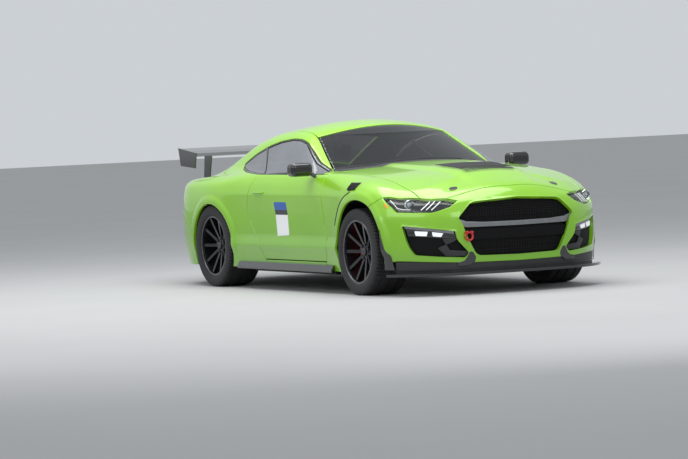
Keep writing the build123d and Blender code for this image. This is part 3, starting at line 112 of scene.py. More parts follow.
# %% Tables of the form, in millimetres
# z, then setbacks of nose and corner, corner y, insets from the half width at bumper side, front axle,
# door front, middle and rear, rear axle, behind it, then tail corner setback, its y and tail setback
OUTLINES = np.array((
    (178, 21, 76, 522, 38, 18, 46, 48, 46, 18, 43, 134, 620, 74),
    (300, 12, 66, 526, 28, 8, 38, 41, 38, 8, 33, 86, 650, 17),
    (370, 10, 61, 530, 23, 3, 22, 21, 22, 3, 28, 66, 660, 7),
    (445, 6, 56, 530, 23, 0, 45, 47, 45, 0, 23, 62, 660, 0),
    (600, 0, 54, 520, 23, 0, 46, 48, 44, 0, 18, 70, 665, 6),
    (720, 14, 90, 500, 48, 1, 40, 38, 36, 0, 23, 86, 665, 20),
    (790, 60, 170, 480, 73, 8, 32, 30, 28, 5, 33, 96, 660, 30),
    (870, 155, 285, 460, 113, 38, 58, 55, 50, 28, 58, 106, 650, 36),
    (945, 305, 455, 430, 173, 93, 93, 93, 90, 73, 103, 126, 630, 46),
    (1010, 460, 610, 400, 253, 173, 133, 131, 130, 130, 175, 146, 600, 56))) * MM
CREASES = (0.370, 0.445, 0.790)        # heights of the door's crisp lines
DOOR_COLUMNS = (6, 7, 8)
NOSE_BULGE = 0.10
TAIL_BULGE = 0.085
# x of each station, height of the crown on the centre line, how far it falls at y = 0.8 m
CROWN = ((rx(-1250), 0.900, 0.060), (rx(-1036), 0.928, 0.056), (rx(-636), 0.966, 0.060), (rx(-336), 0.988, 0.058),
         (rx(64), 1.020, 0.070), (rx(464), 1.030, 0.057), (fx(-656), 1.012, 0.045), (fx(-6), 0.985, 0.062),
         (fx(294), 0.965, 0.093), (fx(544), 0.935, 0.140), (fx(714), 0.890, 0.150), (fx(1050), 0.850, 0.190))
CROWN_EDGE = 0.8
# x, height of the roof on the centre line, how far it falls at y = 0.6 m
ROOF = ((fx(-3456), 0.891, 0.050), (fx(-3006), 1.062, 0.055), (fx(-2706), 1.168, 0.055), (fx(-2356), 1.283, 0.060),
        (fx(-2006), 1.352, 0.070), (fx(-1656), 1.375, 0.080), (fx(-1246), 1.335, 0.085), (fx(-856), 1.270, 0.085),
        (fx(-456), 1.130, 0.085))
ROOF_EDGE = 0.6
# z, x of the cabin side's rear end, its half width there
CABIN_REAR = ((0.900, rx(-680), 0.668), (0.965, rx(-440), 0.664), (1.040, rx(-180), 0.658), (1.110, rx(-6), 0.650),
              (1.200, rx(263), 0.640), (1.300, rx(563), 0.598), (1.390, rx(800), 0.550))
SCREEN_BASE = 0.965
SCREEN_CENTRE = (fx(-506.5), -2.0)     # x at the base, change of x with height
SCREEN_CORNER = (fx(-796.5), -1.93, 0.730, -0.52)
PILLAR_EDGE = (fx(-668), -2.8)
SIDE_LEAN = (0.865, -0.717)            # half width of the cabin at the base, change with height

# %% Cubic through a table


def monotone(xs, ys, x):
    """Hermite cubic through (xs, ys). A row's slope is the harmonic mean of its two neighbours' slopes,
    or nothing where they differ in sign. Outside the table the end values hold."""
    xs = np.asarray(xs, float)
    ys = np.asarray(ys, float)
    flat = ys.ndim == 1
    ys = ys.reshape(len(xs), -1)
    x = np.clip(np.asarray(x, float), xs[0], xs[-1])
    shape = x.shape
    x = x.ravel()
    step = np.diff(xs)[:, None]
    slope = np.diff(ys, axis=0) / step
    ends = np.vstack([slope[:1], slope, slope[-1:]])
    product = ends[:-1] * ends[1:]
    tangent = np.where(product > 0, 2 * product / np.where(product > 0, ends[:-1] + ends[1:], 1.0), 0.0)
    k = np.clip(np.searchsorted(xs, x, side="right") - 1, 0, len(xs) - 2)
    t = ((x - xs[k]) / (xs[k + 1] - xs[k]))[:, None]
    h = step[k]
    value = ((1 + 2 * t) * (1 - t) ** 2 * ys[k] + t * (1 - t) ** 2 * h * tangent[k]
             + t * t * (3 - 2 * t) * ys[k + 1] + t * t * (t - 1) * h * tangent[k + 1])
    return value.reshape(shape) if flat else value.reshape(shape + (ys.shape[1],))


def creased(xs, ys, x, breaks):
    """The same cubic, started afresh at each break, so that a crease stays crisp."""
    xs, ys, x = np.asarray(xs), np.asarray(ys), np.asarray(x)
    edges = [xs[0]] + list(breaks) + [xs[-1]]
    out = np.empty((len(x),) + ys.shape[1:])
    for low, high in zip(edges, edges[1:]):
        rows = (xs >= low - 1e-9) & (xs <= high + 1e-9)
        part = (x >= low) if high == xs[-1] else (x >= low) & (x < high)
        if low == xs[0]:
            part = part | (x < low)
        out[part] = monotone(xs[rows], ys[rows], x[part])
    return out


# %% [markdown]
# ## From tables to a wall
# Each plan outline is drawn as a dense line of points: the nose, the corner's shallow arc, the side, the
# tail's corner and the tail. A Gaussian along the line then rounds the corners as a stamped panel does.
# The walls are kept as three height fields, seen from the side, from ahead and from behind.

# %% Plan outlines and the three wall fields
Z_STEP = 0.004
WALL_Z = np.arange(0.10, 1.06, Z_STEP)
LINE_STEP = 0.005
CORNER_BLUR = 0.028
X_STEP = 0.004
WALL_X = np.arange(TAIL_X - 0.02, NOSE_X + 0.02, X_STEP)
WALL_Y = np.arange(0.0, 0.96, X_STEP)
SIDE_STATIONS = (rx(-480), rx(0), rx(660), (rx(660) + fx(-610)) / 2, fx(-610), fx(0), fx(430))


def arc_points(a, b, bulge, count):
    """Points from a to b on a parabola whose middle stands off the chord by bulge times its length."""
    t = np.linspace(0, 1, count, endpoint=False)[None, :]
    across = np.stack([b[1] - a[1], a[0] - b[0]])
    line = [a[i][:, None] * (1 - t) + b[i][:, None] * t + 4 * bulge * across[i][:, None] * t * (1 - t) for i in (0, 1)]
    return line[0], line[1]


def plan_lines():
    """X and Y of the half outline at every height, from the nose's centre round to the tail's."""
    rows = monotone(OUTLINES[:, 0], OUTLINES[:, 1:], WALL_Z)
    crisp = creased(OUTLINES[:, 0], OUTLINES[:, 1:], WALL_Z, CREASES)
    for column in DOOR_COLUMNS:
        rows[:, column - 1] = crisp[:, column - 1]
    nose, corner, corner_y, tail_corner, tail_y, tail = (rows[:, i] for i in (0, 1, 2, 10, 11, 12))
    across = np.linspace(0, 1, 104, endpoint=False)[None, :]
    front = (NOSE_X - nose[:, None] - (corner - nose)[:, None] * across ** 2, corner_y[:, None] * across)
    side_x = np.arange(SIDE_STATIONS[-1], SIDE_STATIONS[0], -LINE_STEP)
    insets = rows[:, 3:10][:, ::-1].T
    side_y = HALF_WIDTH - monotone(SIDE_STATIONS, insets, side_x).T
    side = (np.repeat(side_x[None, :], len(WALL_Z), 0), side_y)
    c = (NOSE_X - corner, corner_y)
    s = (np.full(len(WALL_Z), side_x[0]), side_y[:, 0])
    q = (np.full(len(WALL_Z), side_x[-1]), side_y[:, -1])
    t = (TAIL_X + tail_corner, tail_y)
    down = np.linspace(1, 0, 132)[None, :]
    back = (TAIL_X + tail[:, None] + (tail_corner - tail)[:, None] * down ** 2, tail_y[:, None] * down)
    parts = [front, arc_points(c, s, NOSE_BULGE, 126), side, arc_points(q, t, TAIL_BULGE, 132), back]
    return np.hstack([p[0] for p in parts]), np.hstack([p[1] for p in parts])


def blurred(x, y):
    """A Gaussian along each outline, which is first continued past the centre line by its mirror image."""
    reach = int(4 * CORNER_BLUR / LINE_STEP)
    kernel = np.exp(-0.5 * (np.arange(-reach, reach + 1) * LINE_STEP / CORNER_BLUR) ** 2)
    kernel /= kernel.sum()
    out = []
    for line, sign in ((x, 1), (y, -1)):
        wide = np.hstack([sign * line[:, reach:0:-1], line, sign * line[:, -2:-reach - 2:-1]])
        out.append(sum(k * wide[:, i:i + line.shape[1]] for i, k in enumerate(kernel)))
    return out


LINE_X, LINE_Y = blurred(*plan_lines())
SIDE_WALL = np.array([np.interp(WALL_X, x[::-1], y[::-1], left=0, right=0) for x, y in zip(LINE_X, LINE_Y)])
NOSE_WALL = np.array([np.interp(WALL_Y, y[:300], x[:300]) for x, y in zip(LINE_X, LINE_Y)])
TAIL_WALL = np.array([np.interp(WALL_Y, y[:-320:-1], x[:-320:-1]) for x, y in zip(LINE_X, LINE_Y)])
print("wall fields", SIDE_WALL.shape, NOSE_WALL.shape, TAIL_WALL.shape, "widest", round(float(SIDE_WALL.max()), 4))

# %% [markdown]
# The wheel arches stand a little proud, as a rolled lip does on steel. The lip is a smooth ring of extra
# width round each wheel opening, so it belongs to the form and every panel that meets the arch has it.

# %% Arch lips
FRONT_ARCH = (fx(44), 0.355, 0.402)    # centre x, z and radius
REAR_ARCH = (rx(0), 0.320, 0.385)
LIP = 0.011
LIP_BAND = (0.050, 0.078)              # the lip is level to the first distance and gone at the second


def add_lip(wall, arch):
    """Extra width round an arch: level for the band's first distance, then a smooth step down."""
    x, z, radius = arch
    away = np.hypot(WALL_X[None, :] - x, WALL_Z[:, None] - z) - radius
    t = np.clip((away - LIP_BAND[0]) / (LIP_BAND[1] - LIP_BAND[0]), 0, 1)
    foot = np.clip((WALL_Z[:, None] - 0.28) / 0.08, 0, 1)
    return wall + LIP * (1 - t * t * (3 - 2 * t)) * foot * (away < 0.2)


SIDE_WALL = add_lip(add_lip(SIDE_WALL, FRONT_ARCH), REAR_ARCH)


def field(grid, a, b, a_axis, b_axis):
    """A bilinear reading of a grid at (a, b), with its slope along each axis."""
    i = np.clip((a - a_axis[0]) / (a_axis[1] - a_axis[0]), 0, len(a_axis) - 1.001)
    j = np.clip((b - b_axis[0]) / (b_axis[1] - b_axis[0]), 0, len(b_axis) - 1.001)
    i0, j0 = i.astype(int), j.astype(int)
    u, v = i - i0, j - j0
    p, q, r, s = grid[i0, j0], grid[i0, j0 + 1], grid[i0 + 1, j0], grid[i0 + 1, j0 + 1]
    value = p * (1 - u) * (1 - v) + q * (1 - u) * v + r * u * (1 - v) + s * u * v
    along_a = ((r - p) * (1 - v) + (s - q) * v) / (a_axis[1] - a_axis[0])
    along_b = ((q - p) * (1 - u) + (s - r) * u) / (b_axis[1] - b_axis[0])
    return value, along_a, along_b


# %% [markdown]
# ## Inside or outside
# Every face of the form gives a distance that is positive inside. Faces meet in rounded edges, and the
# cabin meets the lower body in a hollow fillet. Rays then find where the form ends in any direction, which
# is how each panel is laid on it.

# %% The form as a signed distance
DOME_HEIGHT = 0.020


def rounded(a, b, radius):
    """Inside both a and b, the edge between them rounded to a radius."""
    return radius - np.hypot(np.maximum(radius - a, 0), np.maximum(radius - b, 0))


def filleted(a, b, radius):
    """Inside a or b, the corner between them filled to a radius."""
    return np.hypot(np.maximum(radius + a, 0), np.maximum(radius + b, 0)) - radius


def smooth_step(low, high, x):
    """0 below low, 1 above high, with a level start and end."""
    t = np.clip((x - low) / (high - low), 0, 1)
    return t * t * (3 - 2 * t)


def crown(x, y):
    """The lower body's top: a parabola across the car, raised in the bonnet's middle."""
    table = monotone([c[0] for c in CROWN], [c[1:] for c in CROWN], x)
    half = 0.33 + 0.10 * smooth_step(fx(700), fx(-400), x)
    dome = DOME_HEIGHT * (1 - smooth_step(half - 0.11, half, np.abs(y)))
    dome = dome * smooth_step(fx(-760), fx(-560), x) * (1 - smooth_step(fx(560), fx(860), x))
    return table[..., 0] - table[..., 1] * (y / CROWN_EDGE) ** 2 + dome


def wall_distance(x, y, z):
    """How far inside the plan outline a point lies, read from the field that sees it best."""
    w, wz, wx = field(SIDE_WALL, z, x, WALL_Z, WALL_X)
    n, nz, ny = field(NOSE_WALL, z, y, WALL_Z, WALL_Y)
    t, tz, ty = field(TAIL_WALL, z, y, WALL_Z, WALL_Y)
    side = (w - y) / np.sqrt(1 + wx ** 2 + wz ** 2)
    nose = (n - x) / np.sqrt(1 + ny ** 2 + nz ** 2)
    tail = (x - t) / np.sqrt(1 + ty ** 2 + tz ** 2)
    return np.where(x - 2.25 > y - 0.55, nose, np.where(-x - 2.28 > y - 0.66, tail, side))


SHOULDER = ((-2.4, 0.05), (-1.2, 0.07), (-0.4, 0.035), (0.8, 0.035), (1.3, 0.085), (2.0, 0.07), (2.4, 0.04))


def lower_distance(x, y, z):
    radius = monotone([s[0] for s in SHOULDER], [s[1] for s in SHOULDER], x)
    return rounded(wall_distance(x, y, z), crown(x, y) - z, radius)


def roof_height(x, y):
    table = monotone([r[0] for r in ROOF], [r[1:] for r in ROOF], x)
    return table[..., 0] - table[..., 1] * (y / ROOF_EDGE) ** 2


def cabin_half(x, z):
    """Half width of the cabin: a leaning plane from the pillar back, then a parabola in to its rear end."""
    up = z - SCREEN_BASE
    front = SIDE_LEAN[0] + SIDE_LEAN[1] * np.abs(up)
    rear = monotone([c[0] for c in CABIN_REAR], [c[1:] for c in CABIN_REAR], z)
    start = PILLAR_EDGE[0] + PILLAR_EDGE[1] * up
    t = np.clip((start - x) / (start - rear[..., 0]), 0, 1.6)
    return front - (front - rear[..., 1]) * (1.5 * t - 0.5) * t


def screen_face(y, z):
    """X of the windscreen: a plane lying back, bowed from the centre to its corners."""
    up = z - SCREEN_BASE
    centre = SCREEN_CENTRE[0] + SCREEN_CENTRE[1] * up
    corner = SCREEN_CORNER[0] + SCREEN_CORNER[1] * up
    edge = SCREEN_CORNER[2] + SCREEN_CORNER[3] * up
    return centre - (centre - corner) * (y / edge) ** 2


CABIN_END = -2.2                       # the cabin's form ends here, under the deck


def cabin_distance(x, y, z):
    side = (cabin_half(x, z) - y) / 1.23
    screen = (screen_face(y, z) - x) / 2.3
    top = (roof_height(x, y) - z) / 1.06
    return np.minimum(rounded(rounded(side, top, 0.045), screen, 0.020), x - CABIN_END)


JOIN = ((-2.2, 0.03), (-1.5, 0.06), (-1.0, 0.05), (-0.6, 0.012), (0.6, 0.010), (0.9, 0.010))


def body_distance(p):
    """The whole painted form: positive inside, nothing on its face."""
    x, y, z = p[:, 0], np.abs(p[:, 1]), p[:, 2]
    join = monotone([j[0] for j in JOIN], [j[1] for j in JOIN], x)
    return filleted(lower_distance(x, y, z), cabin_distance(x, y, z), join)


def cast(start, way, reach, inside=body_distance):
    """Where rays from inside leave the form: the stretch is halved until it is far below a millimetre."""
    low, high = np.zeros(len(start)), np.full(len(start), float(reach))
    for _ in range(22):
        mid = (low + high) / 2
        within = inside(start + way * mid[:, None]) > 0
        low, high = np.where(within, mid, low), np.where(within, high, mid)
    return start + way * high[:, None]

# %% [markdown]
# ## Laying a panel on the form
# A panel is an outline in a flat domain, filled with an even net of triangles and carried out to the form
# along rays. Sides and the roof's rails use rays in a fan about a line inside the body, the bonnet and the
# roof use upright rays, and nose and tail use a level fan. The outline itself is drawn on the views in
# which a car's lines are known: side, top, front and rear.

# %% Domains: flat coordinates of a panel, and where they land
FAN_Y, FAN_Z = 0.42, 0.62              # the inside line of the side fan
FAN_SCALE = 0.5                        # metres of surface for a radian
NOSE_PIVOT = 1.72
TAIL_PIVOT = -1.72
LEVEL_SCALE = 0.8


def fan_place(p):
    """(x, angle) to the form, for the left side of the car."""
    angle = p[:, 1] / FAN_SCALE
    start = np.stack([p[:, 0], np.full(len(p), FAN_Y), np.full(len(p), FAN_Z)], 1)
    return cast(start, np.stack([np.zeros(len(p)), np.cos(angle), np.sin(angle)], 1), 1.2)


def fan_flat(q):
    return np.stack([q[:, 0], np.arctan2(q[:, 2] - FAN_Z, q[:, 1] - FAN_Y) * FAN_SCALE], 1)


def top_place(p):
    """(x, y) up to the form."""
    start = np.stack([p[:, 0], p[:, 1], np.full(len(p), 0.5)], 1)
    return cast(start, np.tile([0.0, 0.0, 1.0], (len(p), 1)), 1.1)


def level_place(pivot, sign):
    """(angle, z) to the nose or the tail, by level rays from a pivot on the centre line."""
    def place(p):
        angle = p[:, 0] / LEVEL_SCALE
        start = np.stack([np.full(len(p), pivot), np.zeros(len(p)), p[:, 1]], 1)
        return cast(start, np.stack([sign * np.cos(angle), np.sin(angle), np.zeros(len(p))], 1), 1.3)
    return place


def level_flat(pivot, sign):
    return lambda q: np.stack([np.arctan2(q[:, 1], sign * (q[:, 0] - pivot)) * LEVEL_SCALE, q[:, 2]], 1)


FAN = (fan_place, fan_flat)
TOP = (top_place, lambda q: q[:, :2])
NOSE = (level_place(NOSE_PIVOT, 1), level_flat(NOSE_PIVOT, 1))
TAIL = (level_place(TAIL_PIVOT, -1), level_flat(TAIL_PIVOT, -1))
NET = 0.016                            # spacing of a panel's net


def dense(points, spacing, closed=False):
    """A polyline with its corners kept and its runs divided evenly."""
    points = np.asarray(points, float)
    if closed:
        points = np.vstack([points, points[:1]])
    runs = []
    for a, b in zip(points, points[1:]):
        count = max(1, int(round(np.linalg.norm(b - a) / spacing)))
        runs.append(a + (b - a) * np.linspace(0, 1, count, endpoint=False)[:, None])
    out = np.vstack(runs)
    return out if closed else np.vstack([out, points[-1:]])


def on_view(view, points, spacing=0.012):
    """Carries a line drawn on a view of the car to the form: side (x, z), top (x, y), front and rear (y, z)."""
    p = dense(points, spacing)
    n = len(p)
    if view == "side":
        return cast(np.stack([p[:, 0], np.full(n, 0.25), p[:, 1]], 1), np.tile([0.0, 1.0, 0.0], (n, 1)), 0.9)
    if view == "top":
        return top_place(p)
    sign = 1.0 if view == "front" else -1.0
    return cast(np.stack([np.full(n, sign * 1.4), p[:, 0], p[:, 1]], 1), np.tile([sign, 0.0, 0.0], (n, 1)), 1.2)


def eased(points, radius, count=6):
    """A polyline whose inner corners are rounded: each is a parabola between points a radius away from it."""
    points = np.asarray(points, float)
    t = np.linspace(0, 1, count)[:, None]
    rows = [points[:1]]
    for a, p, b in zip(points, points[1:], points[2:]):
        ra, rb = (min(radius, 0.45 * np.linalg.norm(q - p)) for q in (a, b))
        u = p + (a - p) / np.linalg.norm(a - p) * ra
        v = p + (b - p) / np.linalg.norm(b - p) * rb
        rows.append(u * (1 - t) ** 2 + 2 * p * t * (1 - t) + v * t ** 2)
    return np.vstack(rows + [points[-1:]])


def loop_on(domain, *lines):
    """One closed outline in a domain, from lines drawn on the car's views one after another."""
    flat = np.vstack([domain[1](on_view(view, points)) for view, points in lines])
    flat = flat[np.linalg.norm(flat - np.roll(flat, 1, 0), axis=1) > 0.0015]
    flat = dense(flat, 0.014, closed=True)
    flat = flat[np.linalg.norm(flat - np.roll(flat, 1, 0), axis=1) > 0.0015]
    area = np.sum(flat[:, 0] * np.roll(flat[:, 1], -1) - np.roll(flat[:, 0], -1) * flat[:, 1])
    return flat if area > 0 else flat[::-1]


def arc_line(centre, radius, start, end, count=40):
    """Points on a circle, angles in degrees."""
    a = np.radians(np.linspace(start, end, count))
    return np.stack([centre[0] + radius * np.cos(a), centre[1] + radius * np.sin(a)], 1)


def inside_loops(p, loops):
    """Even-odd test of many points against closed outlines."""
    count = np.zeros(len(p), int)
    for loop in loops:
        a, b = loop, np.roll(loop, -1, 0)
        for i in range(0, len(a), 64):
            u, v = a[i:i + 64], b[i:i + 64]
            above = (u[None, :, 1] > p[:, None, 1]) != (v[None, :, 1] > p[:, None, 1])
            run = np.where(v[:, 1] == u[:, 1], 1e-12, v[:, 1] - u[:, 1])
            at = u[None, :, 0] + (p[:, None, 1] - u[None, :, 1]) * ((v[:, 0] - u[:, 0]) / run)[None, :]
            count += np.sum(above & (p[:, None, 0] < at), axis=1)
    return count % 2 == 1


def net_over(loops, spacing):
    """An even triangle net inside closed outlines: points, triangles, and the outlines as index rings.
    The outlines are first rounded as Blender's vectors are, so that both agree on what is inside."""
    loops = [loop.astype(np.float32).astype(float) for loop in loops]
    rim = np.vstack(loops)
    low, high = rim.min(0), rim.max(0)
    rows = np.arange(low[1], high[1], spacing * 0.866)
    cols = np.arange(low[0], high[0], spacing)
    u, v = np.meshgrid(cols, rows)
    u = u + (np.arange(len(rows)) % 2 * spacing / 2)[:, None]
    grid = np.stack([u.ravel(), v.ravel()], 1)
    grid = grid[inside_loops(grid, loops)]
    near = np.full(len(grid), 9.0)
    for i in range(0, len(rim), 128):
        near = np.minimum(near, np.linalg.norm(grid[:, None] - rim[None, i:i + 128], axis=2).min(1))
    grid = grid[near > spacing * 0.55]
    points = np.vstack([rim, grid])
    edges, start, rings = [], 0, []
    for loop in loops:
        ring = np.arange(start, start + len(loop))
        rings.append(ring)
        edges += list(zip(ring.tolist(), np.roll(ring, -1).tolist()))
        start += len(loop)
    found = delaunay_2d_cdt([Vector(p) for p in points.tolist()], edges, [], 0, 1e-9)
    where = np.empty(len(points), int)
    for new, olds in enumerate(found[3]):
        for old in olds:
            where[old] = new
    flat = np.array([tuple(v) for v in found[0]])
    faces = np.array(found[2])
    within = inside_loops(flat[faces].mean(1), loops)
    kept, thin = faces[within], thin_faces(flat, faces[~within])
    used = {tuple(sorted(e)) for e in np.vstack([kept[:, [0, 1]], kept[:, [1, 2]], kept[:, [2, 0]]]).tolist()}
    bound = {tuple(sorted(e)) for ring in rings for e in zip(where[ring].tolist(), where[np.roll(ring, -1)].tolist())}
    missing = [t for t in thin.tolist()
               if sum(tuple(sorted((t[k], t[k - 1]))) in used - bound for k in range(3)) == 1]
    faces = np.vstack([kept, np.array(missing, int).reshape(-1, 3)])
    return flat, faces, [where[ring] for ring in rings]


def thin_faces(flat, faces, area=2e-6):
    """The triangles of almost no area; their centre can fall on the wrong side of an outline."""
    a, b, c = (flat[faces[:, k]] for k in range(3))
    twice = (b[:, 0] - a[:, 0]) * (c[:, 1] - a[:, 1]) - (c[:, 0] - a[:, 0]) * (b[:, 1] - a[:, 1])
    return faces[np.abs(twice) / 2 < area]


def normals_of(points, faces):
    """Area-weighted vertex normals."""
    a, b, c = points[faces[:, 0]], points[faces[:, 1]], points[faces[:, 2]]
    n = np.cross(b - a, c - a)
    out = np.zeros_like(points)
    for i in range(3):
        np.add.at(out, faces[:, i], n)
    return out / np.maximum(np.linalg.norm(out, axis=1, keepdims=True), 1e-12)


# %% [markdown]
# A sheet's edge is what makes a shut line read as one: it rolls over a small radius and turns inwards, so
# it catches a line of light beside the dark gap. Each outline is therefore drawn in by half the gap, rolled
# over in three steps, turned in as a flange, and closed by the sheet's inner face.

# %% Rolled edges and the finished mesh
ROLL = 0.0035
ROLL_STEPS = (30, 60, 90)
FLANGE = 0.014


def shell_arrays(points, faces, rings, roll=ROLL, flange=FLANGE, inset=0.0, inner=None):
    """A closed sheet from an open net: face, rolled rim, flange and inner face.
    A rim row at angle a lies at p + out * r * sin(a) - normal * r * (1 - cos(a)).
    inner, where it is given, takes the outer points and their normals to those of the inner face."""
    normal = normals_of(points, faces)
    points = points.copy()
    rows = []
    for ring in rings:
        p, n = points[ring], normal[ring]
        along = np.roll(p, -1, 0) - np.roll(p, 1, 0)
        along /= np.maximum(np.linalg.norm(along, axis=1, keepdims=True), 1e-9)
        out = np.cross(along, n)
        points[ring] = p - out * (roll + inset)
        rows.append((ring, out, n))
    back = points - normal * (roll + flange) if inner is None else inner(points, normal)
    verts, tris, quads = [points], [faces], []
    total = len(points)
    for ring, out, n in rows:
        base = points[ring]
        last = ring
        for angle in ROLL_STEPS:
            a = math.radians(angle)
            verts.append(base + out * roll * math.sin(a) - n * roll * (1 - math.cos(a)))
            here = np.arange(total, total + len(ring))
            quads.append(np.stack([last, here, np.roll(here, -1), np.roll(last, -1)], 1))
            last = here
            total += len(ring)
        back[ring] = verts[-1] - n * flange if inner is None else inner(verts[-1], n)
        quads.append(("back", last, ring))
    verts.append(back)
    offset = total
    tris.append(faces[:, ::-1] + offset)
    out_quads = []
    for q in quads:
        if isinstance(q, tuple):
            _, last, ring = q
            out_quads.append(np.stack([last, ring + offset, np.roll(ring, -1) + offset, np.roll(last, -1)], 1))
        else:
            out_quads.append(q)
    return np.vstack(verts), np.vstack(tris), np.vstack(out_quads)


def close_holes(mesh):
    """Fills the few one-triangle holes that a net's thin corners can leave, and turns the fillings outwards."""
    work = bmesh.new()
    work.from_mesh(mesh)
    rims = [edge for edge in work.edges if edge.is_boundary]
    if rims:
        bmesh.ops.holes_fill(work, edges=rims, sides=8)
        bmesh.ops.recalc_face_normals(work, faces=work.faces)
        if work.calc_volume(signed=True) < 0:
            bmesh.ops.reverse_faces(work, faces=work.faces)
        work.to_mesh(mesh)
    work.free()


def mesh_object(name, verts, faces, smooth_angle=None):
    """A mesh object at the origin from arrays; faces is a list of arrays of triangles or quads."""
    verts = np.asarray(verts, np.float32)
    mesh = bpy.data.meshes.new(name)
    corners = np.concatenate([np.asarray(f).ravel() for f in faces]).astype(np.int32)
    sizes = np.concatenate([np.full(len(f), np.asarray(f).shape[1]) for f in faces]).astype(np.int32)
    mesh.vertices.add(len(verts))
    mesh.vertices.foreach_set("co", verts.ravel())
    mesh.loops.add(len(corners))
    mesh.loops.foreach_set("vertex_index", corners)
    mesh.polygons.add(len(sizes))
    mesh.polygons.foreach_set("loop_start", np.concatenate([[0], np.cumsum(sizes)[:-1]]).astype(np.int32))
    mesh.polygons.foreach_set("loop_total", sizes)
    mesh.update(calc_edges=True)
    mesh.validate()
    close_holes(mesh)
    mesh.polygons.foreach_set("use_smooth", np.ones(len(mesh.polygons), bool))
    if smooth_angle is not None:
        mesh.set_sharp_from_angle(angle=math.radians(smooth_angle))
    thing = bpy.data.objects.new(name, mesh)
    bpy.context.scene.collection.objects.link(thing)
    return thing


def flipped(arrays):
    """The same arrays for the car's other side."""
    verts, faces = arrays
    return verts * [1, -1, 1], [np.asarray(f)[:, ::-1] for f in faces]


HALF_GAP = 0.0022                      # each panel stops this far short of the shut line


def sheet_on(domain, loops, spacing=NET, roll=ROLL, flange=FLANGE, inset=HALF_GAP, lift=0.0, inner=None):
    """Net, placing and rolled shell in one go: the vertices and the faces of a panel on the form.
    The first outline is the panel's own, the others are its holes. Lift moves it along its normals."""
    loops = [loops[0]] + [hole[::-1] for hole in loops[1:]]
    flat, faces, rings = net_over(loops, spacing)
    points = domain[0](flat)
    normal = normals_of(points, faces)
    centre = np.array([points[:, 0].mean(), 0.0, 0.6])
    if np.sum(normal * (points - centre)) < 0:
        faces = faces[:, ::-1]
        rings = [ring[::-1] for ring in rings]
        normal = -normal
    verts, tris, quads = shell_arrays(points + normal * lift, faces, rings, roll, flange, inset, inner)
    return verts, [tris, quads]
# %% [markdown]
# ## Shut lines
# Panels that meet share one line, drawn once here and used by both. Lines are given on the view where they
# are straightest: the door from the side, the bonnet from above. A car's panels are symmetric, so the left
# one is made and the right one is its mirror image.

# %% Lines of the side of the car
SILL_Z = 0.178
BELT_Z = 0.955
DOOR_FRONT = ((0.802, 0.955), (0.839, 0.534), (0.907, 0.423), (0.871, 0.255))
DOOR_BACK = ((-0.2785, 0.255), (-0.330, 0.329), (-0.5955, 0.610), (-0.600, 0.692), (-0.480, 0.955))
LAMP_CORNER = (1.845, 0.776)           # where fender, bumper and lamp meet, seen from the side
SEAM_FOOT = (1.700, 0.700)             # the same seam's foot at the front arch
BONNET_EDGE = ((2.117, 0.715), (1.950, 0.728), (1.600, 0.742), (1.200, 0.748), (0.800, 0.735))
LAMP_TOP = ((1.845, 0.904), (1.990, 0.824), (2.117, 0.715))
REAR_SEAM = ((-2.100, 0.665), (-1.8235, 0.600), (-1.640, 0.500), (-1.640, 0.4005))
WINDOW_LINE = ((-0.640, 0.961), (-0.800, 0.970), (-1.010, 0.996), (-1.050, 1.035), (-0.841, 1.122),
               (-0.622, 1.184), (-0.402, 1.224), (-0.188, 1.243), (-0.043, 1.238), (0.100, 1.213),
               (0.275, 1.134), (0.450, 1.050), (0.640, 0.978), (0.706, 0.959))
ROOF_EDGE_LINE = ((0.660, 0.728), (0.390, 0.662), (0.105, 0.588), (-0.450, 0.575), (-0.9415, 0.500))
GLASS_SIDE_LINE = ((-0.9415, 0.500), (-1.630, 0.556))
LID_FRONT_X = rx(-496.5)
LID_EDGE_Y = 0.588
LID_TAIL_X = -2.300                    # where the lid's side edge turns down over the tail


def arch_foot(arch, z, side):
    """The angle in degrees at which an arch crosses a level line, ahead of it (1) or behind it (-1)."""
    rise = math.degrees(math.asin((z - arch[1]) / arch[2]))
    return rise if side > 0 else 180 - rise


def arch_at(arch, angle):
    """The point of an arch at an angle."""
    a = math.radians(angle)
    return arch[0] + arch[2] * math.cos(a), arch[1] + arch[2] * math.sin(a)


def angle_to(arch, x, z):
    return math.degrees(math.atan2(z - arch[1], x - arch[0]))


def push_to(arch, x, z):
    """The point of an arch on the ray from its centre towards (x, z)."""
    return arch_at(arch, angle_to(arch, x, z))


FRONT_FOOT = arch_foot(FRONT_ARCH, SILL_Z, -1)
BUMPER_FOOT = arch_foot(FRONT_ARCH, 0.262, 1)
SEAM_ANGLE = angle_to(FRONT_ARCH, *SEAM_FOOT)
REAR_FOOT = arch_foot(REAR_ARCH, SILL_Z, 1)
REAR_TAIL_FOOT = arch_foot(REAR_ARCH, SILL_Z, -1)
REAR_SEAM_ANGLE = angle_to(REAR_ARCH, *REAR_SEAM[-1])
print("arch angles", round(FRONT_FOOT, 1), round(SEAM_ANGLE, 1), round(REAR_SEAM_ANGLE, 1))

# %% [markdown]
# ## Side sheet metal
# The front fender runs from the door to the lamp, the door from the hinge line to the kick-up ahead of the
# rear wheel, and behind it the sill, the rear quarter and the roof rail are one pressing, as on the real
# shell. That pressing has the side windows' opening cut in it.

# %% Fenders


def fender_outline():
    return loop_on(FAN, ("side", [(0.8715, SILL_Z), arch_at(FRONT_ARCH, FRONT_FOOT)]),
                   ("side", arc_line(FRONT_ARCH[:2], FRONT_ARCH[2], FRONT_FOOT, SEAM_ANGLE)),
                   ("side", [arch_at(FRONT_ARCH, SEAM_ANGLE), LAMP_CORNER]),
                   ("top", LAMP_TOP), ("top", BONNET_EDGE),
                   ("side", eased(DOOR_FRONT, 0.05)), ("side", [(0.871, 0.255), (0.8715, SILL_Z)]))


